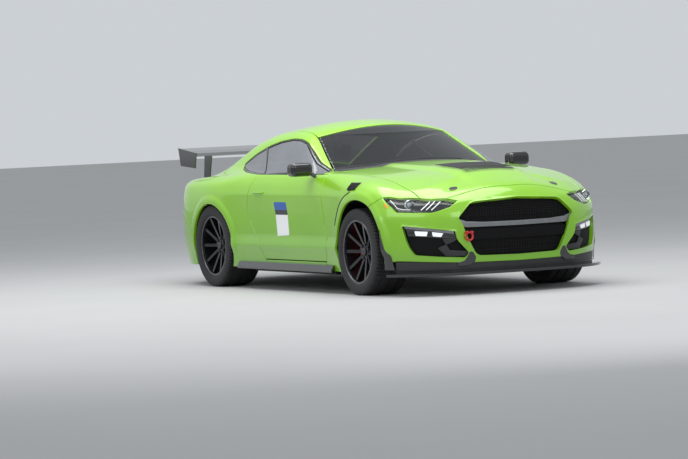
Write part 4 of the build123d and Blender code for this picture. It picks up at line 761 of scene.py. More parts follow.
panels = {}
fender = sheet_on(FAN, [fender_outline()], flange=0.016)
panels["fender_left"] = mesh_object("fender_left", *fender, smooth_angle=32)
panels["fender_right"] = mesh_object("fender_right", *flipped(fender), smooth_angle=32)
print("fender", len(fender[0]), "points")

# %% Doors
DOOR_INNER_Y = 0.782
DOOR_THIN_X = 0.745                    # ahead of this the door is only skin, because it swings inwards
DOOR_SKIN = 0.020


def door_inner(points, normal):
    """The door's inner face: a flat card behind the hinge, and close behind the skin ahead of it."""
    near = points - normal * DOOR_SKIN
    deep = points.copy()
    deep[:, 1] = np.minimum(DOOR_INNER_Y, near[:, 1])
    blend = smooth_step(DOOR_THIN_X - 0.03, DOOR_THIN_X, points[:, 0])[:, None]
    return deep * (1 - blend) + near * blend


def door_outline():
    return loop_on(FAN, ("side", eased(DOOR_FRONT, 0.05)),
                   ("side", [DOOR_FRONT[-1], DOOR_BACK[0]]),
                   ("side", eased(DOOR_BACK, 0.07)),
                   ("side", [DOOR_BACK[-1], DOOR_FRONT[0]]))


door = sheet_on(FAN, [door_outline()], inner=door_inner)
panels["door_skin_left"] = mesh_object("door_skin_left", *door, smooth_angle=32)
panels["door_skin_right"] = mesh_object("door_skin_right", *flipped(door), smooth_angle=32)
print("door", len(door[0]), "points")

# %% Rear quarter, sill and roof rail


def quarter_outline():
    return loop_on(FAN, ("side", [arch_at(REAR_ARCH, REAR_FOOT), (0.8685, SILL_Z), (0.8685, 0.2520)]),
                   ("side", [(0.8685, 0.2520), (-0.2785, 0.2520)]),
                   ("side", eased(DOOR_BACK, 0.07)), ("side", [DOOR_BACK[-1], WINDOW_LINE[0]]),
                   ("side", eased(WINDOW_LINE, 0.05)),
                   ("side", [WINDOW_LINE[-1], (0.802, 0.957)]),
                   ("top", [(0.800, 0.735), ROOF_EDGE_LINE[0]]), ("top", eased(ROOF_EDGE_LINE, 0.10)),
                   ("top", [GLASS_SIDE_LINE[0], GLASS_SIDE_LINE[1], (-1.700, LID_EDGE_Y), (LID_FRONT_X, LID_EDGE_Y)]),
                   ("top", [(LID_FRONT_X, LID_EDGE_Y), (LID_TAIL_X, LID_EDGE_Y)]),
                   ("rear", [(LID_EDGE_Y, 0.838), (0.800, 0.838), (0.803, 0.667)]),
                   ("side", REAR_SEAM[:-1] + (push_to(REAR_ARCH, *REAR_SEAM[-1]),)),
                   ("side", arc_line(REAR_ARCH[:2], REAR_ARCH[2], REAR_SEAM_ANGLE, REAR_FOOT)))


quarter = sheet_on(FAN, [quarter_outline()], flange=0.020)
panels["quarter_left"] = mesh_object("quarter_left", *quarter, smooth_angle=32)
panels["quarter_right"] = mesh_object("quarter_right", *flipped(quarter), smooth_angle=32)
print("quarter", len(quarter[0]), "points")

# %% [markdown]
# ## Roof, deck and bonnet
# These lie on upright rays. Each half of an outline is drawn on the left and joined to its mirror image,
# so the two sides are exactly alike.

# %% A symmetric outline


def whole(points):
    """A half outline from the centre line round to the centre line, and its mirror image."""
    points = np.asarray(points, float)
    return np.vstack([points, points[::-1][1:-1] * [1, -1]])


def top_outline(points):
    return loop_on(TOP, ("top", np.vstack([whole(points), whole(points)[:1]])))


def parabola(x_centre, corner, count=14):
    """Half of a line across the car: x falls with the square of y from the centre to a corner."""
    y = np.linspace(0, corner[1], count)
    return np.stack([x_centre + (corner[0] - x_centre) * (y / corner[1]) ** 2, y], 1)


ROOF_FRONT = parabola(0.210, (0.105, 0.588))
ROOF_REAR = parabola(-0.9415, (-0.9415, 0.500))[::-1]
roof = sheet_on(TOP, [top_outline(np.vstack([ROOF_FRONT, [(-0.450, 0.575)], ROOF_REAR]))], flange=0.018)
panels["roof_skin"] = mesh_object("roof_skin", *roof, smooth_angle=32)
deck = sheet_on(TOP, [top_outline([(-1.630, 0.0), (-1.630, 0.556), (-1.700, LID_EDGE_Y), (LID_FRONT_X, LID_EDGE_Y),
                                   (LID_FRONT_X, 0.0)])], flange=0.018)
panels["deck_skin"] = mesh_object("deck_skin", *deck, smooth_angle=32)

BONNET_FRONT = ((2.302, 0.0), (2.285, 0.171), (2.268, 0.393), (2.262, 0.475), (2.255, 0.556))
BONNET_LAMP = ((2.182, 0.661), (2.117, 0.715))
BONNET_BACK = parabola(0.955, (0.800, 0.735))[::-1]


def bonnet_outline():
    half = np.vstack([BONNET_FRONT, BONNET_LAMP, BONNET_EDGE[1:-1], BONNET_BACK])
    return top_outline(half)


bonnet = sheet_on(TOP, [bonnet_outline()], flange=0.022)
panels["bonnet_skin"] = mesh_object("bonnet_skin", *bonnet, smooth_angle=32)
print("roof, deck and bonnet", len(roof[0]), len(deck[0]), len(bonnet[0]), "points")

# %% [markdown]
# ## Boot lid
# The lid turns down over the tail, so upright rays would graze its rear face. A fan of rays about a line
# across the car sees both its top and its face squarely.

# %% Boot lid
LID_PIVOT_X, LID_PIVOT_Z = -2.02, 0.62
LID_FACE_Y = 0.486
LID_FACE_TOP = 0.838
LID_FACE_LOW = 0.668
LID_SCALE = 0.5


def lid_place(p):
    """(angle, y) about a line across the car, inside the tail."""
    a = p[:, 0] / LID_SCALE
    start = np.stack([np.full(len(p), LID_PIVOT_X), p[:, 1], np.full(len(p), LID_PIVOT_Z)], 1)
    return cast(start, np.stack([-np.sin(a), np.zeros(len(p)), np.cos(a)], 1), 0.9)


def lid_flat(q):
    """The other way round: points on the lid to (angle times scale, y)."""
    angle = np.arctan2(-(q[:, 0] - LID_PIVOT_X), q[:, 2] - LID_PIVOT_Z)
    return np.stack([angle * LID_SCALE, q[:, 1]], 1)


LID = (lid_place, lid_flat)


def lid_outline():
    half = [("top", [(LID_FRONT_X - 0.002, 0.0), (LID_FRONT_X - 0.002, 0.585), (LID_TAIL_X, 0.585)]),
            ("rear", [(0.585, LID_FACE_TOP), (LID_FACE_Y, LID_FACE_TOP), (LID_FACE_Y, LID_FACE_LOW), (0.0, LID_FACE_LOW)])]
    flat = np.vstack([LID[1](on_view(view, eased(points, 0.012))) for view, points in half])
    flat = flat[np.concatenate([[True], np.linalg.norm(np.diff(flat, axis=0), axis=1) > 0.0015])]
    flat[0, 1] = flat[-1, 1] = 0.0
    flat = np.vstack([flat, flat[::-1][1:-1] * [1, -1]])
    flat = dense(flat, 0.014, closed=True)
    return flat[np.linalg.norm(flat - np.roll(flat, 1, 0), axis=1) > 0.0015]


boot = sheet_on(LID, [lid_outline()], flange=0.018)
panels["boot_skin"] = mesh_object("boot_skin", *boot, smooth_angle=32)
print("boot lid", len(boot[0]), "points")

# %% [markdown]
# ## Bumpers
# The bumpers' skins wrap round the corners, so their rays fan out level from a line inside the car. The
# front one has the grille's mouth and the two corner openings cut in it.

# %% Symmetric outlines on the nose and the tail


def wrapped(domain, *lines):
    """An outline round the nose or the tail, from the lines of its left half."""
    flat = np.vstack([domain[1](on_view(view, points)) for view, points in lines])
    flat = flat[np.concatenate([[True], np.linalg.norm(np.diff(flat, axis=0), axis=1) > 0.0015])]
    flat[0, 0] = flat[-1, 0] = 0.0
    flat = np.vstack([flat, flat[::-1][1:-1] * [-1, 1]])
    flat = dense(flat, 0.014, closed=True)
    flat = flat[np.linalg.norm(flat - np.roll(flat, 1, 0), axis=1) > 0.0015]
    area = np.sum(flat[:, 0] * np.roll(flat[:, 1], -1) - np.roll(flat[:, 0], -1) * flat[:, 1])
    return flat if area > 0 else flat[::-1]


def hole_on(domain, *lines):
    """A hole's outline, run the other way round."""
    return loop_on(domain, *lines)[::-1]


MOUTH = ((0.0, 0.750), (0.392, 0.728), (0.520, 0.603), (0.490, 0.569), (0.454, 0.466), (0.415, 0.386),
         (0.369, 0.298), (0.0, 0.291))
INTAKE = ((0.535, 0.506), (0.864, 0.560), (0.845, 0.440), (0.826, 0.372), (0.797, 0.318), (0.643, 0.300),
          (0.457, 0.287), (0.424, 0.330), (0.520, 0.436))


def bumper_outline():
    arch_x, arch_z = arch_at(FRONT_ARCH, SEAM_ANGLE)
    return wrapped(NOSE, ("front", [(0.0, 0.246), (0.457, 0.250), (0.642, 0.261)]),
                   ("side", [(2.273, 0.261), (2.133, 0.271), (2.018, 0.276), arch_at(FRONT_ARCH, BUMPER_FOOT)]),
                   ("side", arc_line(FRONT_ARCH[:2], FRONT_ARCH[2], BUMPER_FOOT, SEAM_ANGLE)),
                   ("side", [(arch_x, arch_z), LAMP_CORNER]),
                   ("side", LAMP_OUTER), ("front", LAMP_LOWER), ("top", BONNET_FRONT[::-1]))


LAMP_OUTER = ((1.852, 0.773), (1.953, 0.711), (2.016, 0.662), (2.179, 0.655))
LAMP_LOWER = ((0.752, 0.655), (0.680, 0.653), (0.647, 0.662), (0.560, 0.690), (0.489, 0.737))
BUMPER_LOOP = bumper_outline()
MOUTH_LOOP = wrapped(NOSE, ("front", eased(MOUTH, 0.045)))[::-1]
INTAKE_LEFT = hole_on(NOSE, ("front", eased(INTAKE + INTAKE[:1], 0.02)))
INTAKE_RIGHT = INTAKE_LEFT[::-1] * [-1, 1]
bumper = sheet_on(NOSE, [BUMPER_LOOP, MOUTH_LOOP, INTAKE_LEFT, INTAKE_RIGHT], flange=0.030)
panels["bumper_skin_front"] = mesh_object("bumper_skin_front", *bumper, smooth_angle=32)
print("front bumper", len(bumper[0]), "points")

# %% Rear bumper
DIFFUSER_Y, DIFFUSER_Z = 0.560, 0.350


def rear_bumper_outline():
    x, z = push_to(REAR_ARCH, *REAR_SEAM[-1])
    foot_x, foot_z = arch_at(REAR_ARCH, REAR_TAIL_FOOT)
    return wrapped(TAIL, ("rear", [(0.0, DIFFUSER_Z), (DIFFUSER_Y, DIFFUSER_Z), (DIFFUSER_Y, SILL_Z)]),
                   ("rear", [(DIFFUSER_Y, SILL_Z), (0.610, SILL_Z)]),
                   ("side", [(-2.265, SILL_Z), (foot_x, foot_z)]),
                   ("side", arc_line(REAR_ARCH[:2], REAR_ARCH[2], REAR_TAIL_FOOT, REAR_SEAM_ANGLE)),
                   ("side", [(x, z), REAR_SEAM[2], REAR_SEAM[1], REAR_SEAM[0], (-2.250, 0.665)]),
                   ("rear", [(0.700, 0.665), (0.0, 0.665)]))


rear_bumper = sheet_on(TAIL, [rear_bumper_outline()], flange=0.024)
panels["bumper_skin_rear"] = mesh_object("bumper_skin_rear", *rear_bumper, smooth_angle=32)
print("rear bumper", len(rear_bumper[0]), "points")
# %% [markdown]
# ## Panels and their bodies
# Each panel is told which body it moves with and which construction node it stands for.

# %% What each panel stands for
pieces = {}


def piece(name, arrays, body, slot, *nodes, angle=32):
    thing = mesh_object(name, *arrays, smooth_angle=angle)
    return declare(thing, body, slot, *nodes)


def declare(thing, body, slot, *nodes):
    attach(thing, body)
    if nodes:
        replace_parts(thing, *nodes)
    pieces[thing.name] = thing
    return thing


PANEL_ROWS = (
    # piece, body, nodes it stands for
    ("fender_left", "body", ("front_fenders",)),
    ("fender_right", "body", ("front_fenders",)),
    ("door_skin_left", "door_left", ("door_left",)),
    ("door_skin_right", "door_right", ("door_right",)),
    ("quarter_left", "body", ("side_panels",)),
    ("quarter_right", "body", ("side_panels",)),
    ("roof_skin", "body", ("roof_panel",)),
    ("deck_skin", "body", ("deck_panel",)),
    ("bonnet_skin", "bonnet", ("bonnet",)),
    ("boot_skin", "boot_lid", ("boot_lid",)),
    ("bumper_skin_front", "body", ("front_bumper",)),
    ("bumper_skin_rear", "body", ("rear_bumper",)),
)
for name, body, nodes in PANEL_ROWS:
    declare(panels[name], body, "green_paint", *nodes)
print(len(pieces), "painted panels declared")

# %% [markdown]
# ## Sweeps and turnings
# Bars, rims and trims are one section carried along a path or turned about an axle. Both give closed
# meshes straight from arrays.

# %% Sweep, turn and join


def joined(parts):
    """One set of arrays from several."""
    verts, faces, total = [], [], 0
    for v, fs in parts:
        verts.append(v)
        faces += [np.asarray(f) + total for f in fs]
        total += len(v)
    return np.vstack(verts), faces


def sweep(path, section, up=(0, 0, 1), scale=None):
    """A closed bar: v[i, j] = path[i] + s[j, 0] * side[i] + s[j, 1] * rise[i], with flat ends."""
    path, section = np.asarray(path, float), np.asarray(section, float)
    along = np.gradient(path, axis=0)
    along /= np.linalg.norm(along, axis=1, keepdims=True)
    side = np.cross(along, up)
    side /= np.linalg.norm(side, axis=1, keepdims=True)
    rise = np.cross(side, along)
    size = np.ones(len(path)) if scale is None else np.asarray(scale, float)
    s = section[None] * size[:, None, None]
    verts = path[:, None] + s[:, :, :1] * side[:, None] + s[:, :, 1:] * rise[:, None]
    n, m = verts.shape[:2]
    i, j = np.meshgrid(np.arange(n - 1), np.arange(m), indexing="ij")
    k = (j + 1) % m
    quads = np.stack([i * m + j, i * m + k, (i + 1) * m + k, (i + 1) * m + j], -1).reshape(-1, 4)
    fan = np.stack([np.zeros(m - 2, int), np.arange(2, m), np.arange(1, m - 1)], 1)
    caps = np.vstack([fan, fan[:, ::-1] + (n - 1) * m])
    return outward(verts.reshape(-1, 3), [quads, caps])


def outward(verts, faces):
    """Turns a closed mesh's faces outwards: its volume is sum(a . (b x c)) / 6 over its triangles."""
    tris = np.vstack([f if f.shape[1] == 3 else np.vstack([f[:, :3], f[:, [0, 2, 3]]]) for f in faces])
    a, b, c = (verts[tris[:, k]] for k in range(3))
    if np.sum(a * np.cross(b, c)) < 0:
        faces = [f[:, ::-1] for f in faces]
    return verts, faces


def turned(section, centre, count, axis="y", push=None):
    """A closed ring: section rows are (along the axle, radius); push(angle, along, radius) may cut into it."""
    section = np.asarray(section, float)
    a = np.linspace(0, 2 * math.pi, count, endpoint=False)[:, None]
    along, radius = section[None, :, 0], section[None, :, 1]
    r = radius + (push(a, along, radius) if push else 0 * a)
    u, v = r * np.cos(a), r * np.sin(a)
    along = np.broadcast_to(along, u.shape)
    order = {"y": (u, along, v), "x": (along, u, v), "z": (u, v, along)}[axis]
    verts = np.stack(order, -1) + np.asarray(centre, float)
    n, m = u.shape
    i, j = np.meshgrid(np.arange(n), np.arange(m), indexing="ij")
    k, h = (j + 1) % m, (i + 1) % n
    quads = np.stack([i * m + j, i * m + k, h * m + k, h * m + j], -1).reshape(-1, 4)
    return outward(verts.reshape(-1, 3), [quads])


def round_section(width, height, count=12, square=2.6):
    """A rounded section: |x / a|^n + |y / b|^n = 1."""
    t = np.linspace(0, 2 * math.pi, count, endpoint=False) + math.pi / count
    c, s = np.cos(t), np.sin(t)
    return np.stack([width / 2 * np.sign(c) * np.abs(c) ** (2 / square),
                     height / 2 * np.sign(s) * np.abs(s) ** (2 / square)], 1)


def both_sides(arrays):
    """A piece and its mirror image in one."""
    return joined([arrays, flipped(arrays)])


SIDES = (("left", 1), ("right", -1))

# %% [markdown]
# ## Glass and its dark borders
# The panes lie a few millimetres inside the painted form. The side windows sit in one dark frame with the
# pillar between them, as on the real car.

# %% Windscreen, rear glass and cowl
SCREEN_BASE_LINE = parabola(0.925, (0.652, 0.722))
screen_half = np.vstack([[(0.925, 0.0)], SCREEN_BASE_LINE[1:], [(0.386, 0.657)],
                         parabola(0.213, (0.108, 0.584))[::-1]])
screen = sheet_on(TOP, [top_outline(screen_half)], flange=0.004, lift=-0.003, inset=0.004)
piece("windscreen", screen, "body", "clear_glass", "windshield")
rear_pane = sheet_on(TOP, [top_outline([(-0.946, 0.0), (-0.946, 0.494), (-1.626, 0.550), (-1.626, 0.0)])],
                     flange=0.004, lift=-0.003, inset=0.003)
piece("rear_pane", rear_pane, "body", "clear_glass", "rear_window")
COWL_EDGE = 0.012                      # the cowl's front edge stays this far behind the bonnet's
cowl_half = np.vstack([parabola(0.949 - COWL_EDGE, (0.794 - COWL_EDGE, 0.735)), [(0.700, 0.729)],
                       parabola(0.931, (0.660, 0.722))[::-1]])
cowl = sheet_on(TOP, [top_outline(cowl_half)], flange=0.008, lift=-0.006)
piece("cowl_grille", cowl, "body", "black_plastic", "cowl_panel")

# %% Side windows
BACK = (-0.480, 0.957)


def trim_outline():
    return loop_on(FAN, ("side", eased(WINDOW_LINE, 0.05)), ("side", [WINDOW_LINE[-1], BACK]),
                   ("side", [BACK, WINDOW_LINE[0]]))


DOOR_PANE = ((-0.398, 0.960), (-0.640, 1.165), (-0.618, 1.173), (-0.402, 1.213), (-0.190, 1.232), (-0.043, 1.227),
             (0.092, 1.204), (0.262, 1.127), (0.436, 1.044), (0.610, 0.979), (0.668, 0.962), (-0.398, 0.960))
REAR_PANE = ((-0.424, 0.966), (-0.640, 0.972), (-0.800, 0.982), (-0.996, 1.006), (-1.028, 1.034), (-0.833, 1.111),
             (-0.662, 1.158), (-0.424, 0.966))


def pane(points, radius):
    return loop_on(FAN, ("side", eased(points, radius)))


trim = sheet_on(FAN, [trim_outline(), pane(DOOR_PANE, 0.02), pane(REAR_PANE, 0.02)],
                flange=0.006, lift=-0.002, spacing=0.02)
door_pane = sheet_on(FAN, [pane(DOOR_PANE, 0.02)], flange=0.002, lift=-0.006, inset=0.005)
rear_side_pane = sheet_on(FAN, [pane(REAR_PANE, 0.02)], flange=0.002, lift=-0.005, inset=0.001)
for side, sign in SIDES:
    turn = (lambda a: a) if sign > 0 else flipped
    piece(f"window_frame_{side}", turn(trim), "body", "trim_black")
    piece(f"door_pane_{side}", turn(door_pane), f"door_{side}", "clear_glass", f"door_glass_{side}")
    piece(f"rear_side_pane_{side}", turn(rear_side_pane), "body", "clear_glass", "quarter_windows")
print("glass and frames made")

# %% [markdown]
# ## Headlamps
# A clear face follows the fender and bumper. Behind it lie a dark housing, a projector with its ring and the slanted
# light bars of the photograph.

# %% Headlamp faces and housings


def lamp_outline():
    return loop_on(NOSE, ("top", LAMP_TOP + ((2.182, 0.661), (2.255, 0.556))),
                   ("front", LAMP_LOWER[::-1]), ("side", LAMP_OUTER[::-1]))


lens = sheet_on(NOSE, [lamp_outline()], flange=0.003, spacing=0.014)
housing = sheet_on(NOSE, [lamp_outline()], flange=0.006, lift=-0.030, inset=0.006, spacing=0.02)


def on_nose(y, z, deep=0.0):
    """A point behind the nose's face at a place seen from ahead."""
    p = on_view("front", [(y, z), (y + 1e-4, z)])[0]
    return p - np.array([deep, 0.0, 0.0])


RING = ((0.0, 0.026), (0.006, 0.028), (0.010, 0.032), (0.006, 0.035), (-0.012, 0.035), (-0.012, 0.026))
BALL = ((-0.012, 0.0005), (0.010, 0.0005), (0.008, 0.012), (0.002, 0.021), (-0.012, 0.025))
LAMP_UNITS = ((0.790, 0.716, 1.1),)
rings, balls = [], []
for y, z, size in LAMP_UNITS:
    at = on_nose(y, z, 0.030)
    rings.append(turned(np.array(RING) * size, at, 40, axis="x"))
    balls.append(turned(np.array(BALL) * size, at, 40, axis="x"))
BARS = ((0.738, 0.672, 0.667, 0.736), (0.707, 0.672, 0.637, 0.736), (0.675, 0.670, 0.602, 0.733))
light_bars = []
for y0, z0, y1, z1 in BARS:
    ends = [on_nose(y0, z0, 0.016), on_nose((y0 + y1) / 2, (z0 + z1) / 2, 0.015), on_nose(y1, z1, 0.016)]
    light_bars.append(sweep(ends, round_section(0.006, 0.016), up=(1, 0, 0)))
STRIP = ((0.872, 0.752), (0.868, 0.722), (0.858, 0.690), (0.834, 0.680), (0.794, 0.676))
strip = [on_nose(y, z, 0.026) for y, z in STRIP]
light_bars.append(sweep(strip, round_section(0.006, 0.008), up=(1, 0, 0)))
for side, sign in SIDES:
    turn = (lambda a: a) if sign > 0 else flipped
    piece(f"lamp_face_{side}", turn(lens), "body", "lamp_lens", "headlamps")
    piece(f"lamp_housing_{side}", turn(housing), "body", "black_plastic")
    piece(f"lamp_rings_{side}", turn(joined(rings)), "body", "rim_metal")
    piece(f"lamp_projectors_{side}", turn(joined(balls)), "body", "lamp_lens")
    piece(f"lamp_bars_{side}", turn(joined(light_bars)), "body", "lamp_lens")
print("headlamps made")

# %% [markdown]
# ## Nose furniture
# The corner openings have a dark back, a lit row and a fin. Black fangs run down beside the lower grille
# to the splitter, and a winglet stands at the front edge of each arch.

# %% Corner openings, fangs and winglets
INTAKE_BACK = ((0.545, 0.520), (0.880, 0.575), (0.855, 0.360), (0.800, 0.300), (0.640, 0.285), (0.440, 0.275),
               (0.410, 0.330), (0.505, 0.440))


def nose_sheet(points, lift, spacing=0.02, flange=0.006, radius=0.02):
    return sheet_on(NOSE, [loop_on(NOSE, ("front", eased(points + points[:1], radius)))], spacing=spacing,
                    flange=flange, lift=lift, inset=0.0)


intake_back = nose_sheet(INTAKE_BACK, -0.030)
band = nose_sheet(((0.545, 0.503), (0.853, 0.556), (0.848, 0.532), (0.548, 0.478)), -0.010, radius=0.005)
BEZEL = ((0.532, 0.480), (0.848, 0.532), (0.834, 0.472), (0.609, 0.446), (0.522, 0.437))
bezel = nose_sheet(BEZEL, -0.020, radius=0.005)
units = [nose_sheet(corners, -0.012, radius=0.006, spacing=0.012) for corners in (
    ((0.621, 0.488), (0.694, 0.500), (0.690, 0.466), (0.635, 0.458)),
    ((0.720, 0.504), (0.798, 0.511), (0.792, 0.474), (0.728, 0.468)))]
fin = nose_sheet(((0.520, 0.439), (0.625, 0.443), (0.577, 0.352), (0.430, 0.342), (0.430, 0.300), (0.600, 0.300),
                  (0.660, 0.372)), -0.014, radius=0.006)
FANG = ((0.424, 0.338), (0.398, 0.334), (0.374, 0.292), (0.382, 0.256), (0.430, 0.228), (0.520, 0.226), (0.520, 0.256),
        (0.470, 0.268), (0.452, 0.286))
fang = nose_sheet(FANG, 0.003, radius=0.010, spacing=0.012)
WINGLET = ((1.875, 0.529), (1.927, 0.369), (1.967, 0.329), (1.990, 0.206), (1.893, 0.208), (1.905, 0.300),
           (1.880, 0.400))
winglet = sheet_on(FAN, [loop_on(FAN, ("side", eased(WINGLET + WINGLET[:1], 0.01)))],
                   lift=0.006, flange=0.004, spacing=0.012)
for side, sign in SIDES:
    turn = (lambda a: a) if sign > 0 else flipped
    piece(f"intake_back_{side}", turn(intake_back), "body", "grille_black")
    piece(f"intake_band_{side}", turn(band), "body", "rim_metal")
    piece(f"intake_bezel_{side}", turn(bezel), "body", "black_gloss")
    piece(f"intake_lamps_{side}", turn(joined(units)), "body", "lamp_lens")
    piece(f"intake_fin_{side}", turn(fin), "body", "trim_black")
    piece(f"fang_{side}", turn(fang), "body", "black_gloss")
    piece(f"winglet_{side}", turn(winglet), "body", "black_gloss")

# %% Chin and the splitter's step
LIP_SIDE = ((1.992, 0.275), (2.270, 0.264))          # the bumper's lower edge, x and z
LIP_FRONT = ((0.640, 0.264), (-0.640, 0.264))        # the same across the nose, y and z
CHIN_TOP, CHIN_FOOT, STEP_HEIGHT = 0.272, 0.168, 0.203


def under_lip(height, back):
    """The bumper's lower edge round the nose at another height, moved back along its normal (ty, -tx)."""
    side = on_view("side", LIP_SIDE, spacing=0.02)
    line = np.vstack([side, on_view("front", LIP_FRONT, spacing=0.03), (side * [1, -1, 1])[::-1]])
    along = np.gradient(line, axis=0)
    along[:, 2] = 0
    along /= np.linalg.norm(along, axis=1, keepdims=True)
    line = line + back * np.stack([along[:, 1], -along[:, 0], 0 * along[:, 0]], 1)
    line[:, 2] = height
    return line


chin = sweep(under_lip((CHIN_TOP + CHIN_FOOT) / 2, 0.019), round_section(0.010, CHIN_TOP - CHIN_FOOT, 12, 6.0))
piece("chin", chin, "body", "black_plastic")
step = sweep(under_lip(STEP_HEIGHT, 0.008), round_section(0.034, 0.007, 12))
piece("splitter_step", step, "body", "black_gloss")

# %% Grille: dark back, bar and mesh
GRILLE_HALF = ((0.0, 0.755), (0.400, 0.733), (0.528, 0.604), (0.498, 0.565), (0.462, 0.466), (0.423, 0.384),
               (0.378, 0.290), (0.0, 0.284))


def mouth_loop(half):
    return wrapped(NOSE, ("front", half))


grille_back = sheet_on(NOSE, [mouth_loop(GRILLE_HALF)], lift=-0.070, flange=0.006, spacing=0.03)
piece("grille_back", grille_back, "body", "grille_black", "grille")
BAR_HALF = ((0.0, 0.560), (0.300, 0.563), (0.440, 0.574), (0.512, 0.600), (0.494, 0.562), (0.478, 0.528),
            (0.440, 0.522), (0.0, 0.518))
grille_bar = sheet_on(NOSE, [mouth_loop(BAR_HALF)], lift=-0.016, flange=0.012, roll=0.005, spacing=0.02)
piece("grille_bar", grille_bar, "body", "rim_metal")
PLATE_HALF = ((0.0, 0.505), (0.466, 0.505), (0.434, 0.420), (0.0, 0.420))
grille_plate = sheet_on(NOSE, [mouth_loop(PLATE_HALF)], lift=-0.022, flange=0.010, spacing=0.03)
piece("grille_plate", grille_plate, "body", "black_gloss")


def mouth_half_width(z):
    """Half the width of the mouth at a height."""
    rows = sorted((q[1], q[0]) for q in GRILLE_HALF[1:-1])
    return np.interp(z, [r[0] for r in rows], [r[1] for r in rows])


def nose_row(z, y0, y1, deep, count=18):
    """A line across the nose behind its face."""
    p = on_view("front", [(y0, z), (y1, z)], spacing=abs(y1 - y0) / count)
    return p - np.array([deep, 0.0, 0.0])


SLAT = round_section(0.004, 0.010, 8)
ROWS = tuple(np.arange(0.570, 0.740, 0.018)) + tuple(np.arange(0.300, 0.415, 0.018))
slats = []
for z in ROWS:
    half = mouth_half_width(z) - 0.004
    slats.append(sweep(nose_row(z, -half, half, 0.034), SLAT, up=(0, 0, 1)))
POST = round_section(0.003, 0.008, 8)
for y in np.arange(-0.46, 0.461, 0.023):
    for low, high in ((0.562, 0.744), (0.290, 0.418)):
        zs = np.linspace(low, high, 12)
        inside = zs[np.abs(y) < mouth_half_width(zs) - 0.004]
        if len(inside) > 2:
            p = on_view("front", [(y, inside[0]), (y, inside[-1])], spacing=0.02) - np.array([0.036, 0.0, 0.0])
            slats.append(sweep(p, POST, up=(0, 1, 0)))
piece("grille_mesh", joined(slats), "body", "grille_black")
print("grille mesh of", len(slats), "bars")

# %% [markdown]
# ## Tow shackle and inside of the cabin
# The red tow shackle hangs from its pin: a bow of three quarters of a circle, an eye at each end and the pin
# through both. Under the roof lies a dark headliner, and the door openings show a painted post and sill.

# %% Shackle
SHACKLE_BOW, SHACKLE_ROD = 0.030, 0.0085
EYE = ((-0.007, 0.006), (-0.005, 0.014), (0.005, 0.014), (0.007, 0.006))
PIN = ((-0.036, 0.0005), (-0.036, 0.009), (-0.029, 0.009), (-0.029, 0.006), (0.029, 0.006), (0.029, 0.009),
       (0.036, 0.009), (0.036, 0.0005))


def shackle():
    """Bow, eyes, pin and the bolt that runs back into the bumper beam, from the hook node's box."""
    low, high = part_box("tow_hook")
    x, y, z = high.x - SHACKLE_ROD, (low.y + high.y) / 2, low.z + SHACKLE_BOW + SHACKLE_ROD
    ring = arc_line((y, z), SHACKLE_BOW, 128, 412, 48)
    rod = round_section(2 * SHACKLE_ROD, 2 * SHACKLE_ROD, 14, 2.0)
    bow = sweep(np.insert(ring, 0, x, axis=1), rod, up=(1, 0, 0))
    top = (x, y, z + SHACKLE_BOW)
    eyes = [turned(np.array(EYE), (x, y + side * 0.020, top[2]), 28) for side in (1, -1)]
    bolt = ((low.x - x, 0.0005), (low.x - x, 0.008), (0.0, 0.008), (0.004, 0.0005))
    return joined([bow, turned(np.array(PIN), top, 28), turned(np.array(bolt), top, 28, axis="x")] + eyes)


piece("tow_shackle", shackle(), "body", "red_metal", "tow_hook", angle=40)

# %% Headliner, posts and sills
liner_half = np.vstack([parabola(0.150, (0.060, 0.540)), [(-0.450, 0.530)], parabola(-0.900, (-0.900, 0.455))[::-1]])
headliner = sheet_on(TOP, [top_outline(liner_half)], flange=0.006, lift=-0.026, spacing=0.03)
piece("headliner", headliner, "body", "trim_black")
SILL_RAIL = ((-0.260, 0.792, 0.212), (0.300, 0.794, 0.212), (0.850, 0.792, 0.212))
REAR_POST = ((-0.330, 0.752, 0.250), (-0.430, 0.752, 0.400), (-0.560, 0.752, 0.600), (-0.560, 0.740, 0.760),
             (-0.480, 0.722, 0.930))
FRONT_POST = ((0.900, 0.670, 0.220), (0.900, 0.670, 0.560), (0.880, 0.670, 0.880))
SILL_SECTION, POST_SECTION = round_section(0.050, 0.070, 16, 5.0), round_section(0.100, 0.040, 16, 5.0)
rails = joined([sweep(dense(SILL_RAIL, 0.1), SILL_SECTION)]
               + [sweep(dense(line, 0.05), POST_SECTION, up=(0, 1, 0)) for line in (REAR_POST, FRONT_POST)])
piece("opening_frames", both_sides(rails), "body", "green_paint", "side_panels")

# %% [markdown]
# ## Bonnet furniture, louvres and small trim
# Two oval pins, slats in the vent's opening, the slatted louvre on each fender, handles, wipers and the
# amber side lamps are all thin sheets or swept bars on the same form.

# %% Pins, vents and handles


def top_sheet(points, lift, radius=0.01, flange=0.005, spacing=0.014):
    return sheet_on(TOP, [loop_on(TOP, ("top", eased(points + points[:1], radius)))], lift=lift, flange=flange,
                    inset=0.0, spacing=spacing)


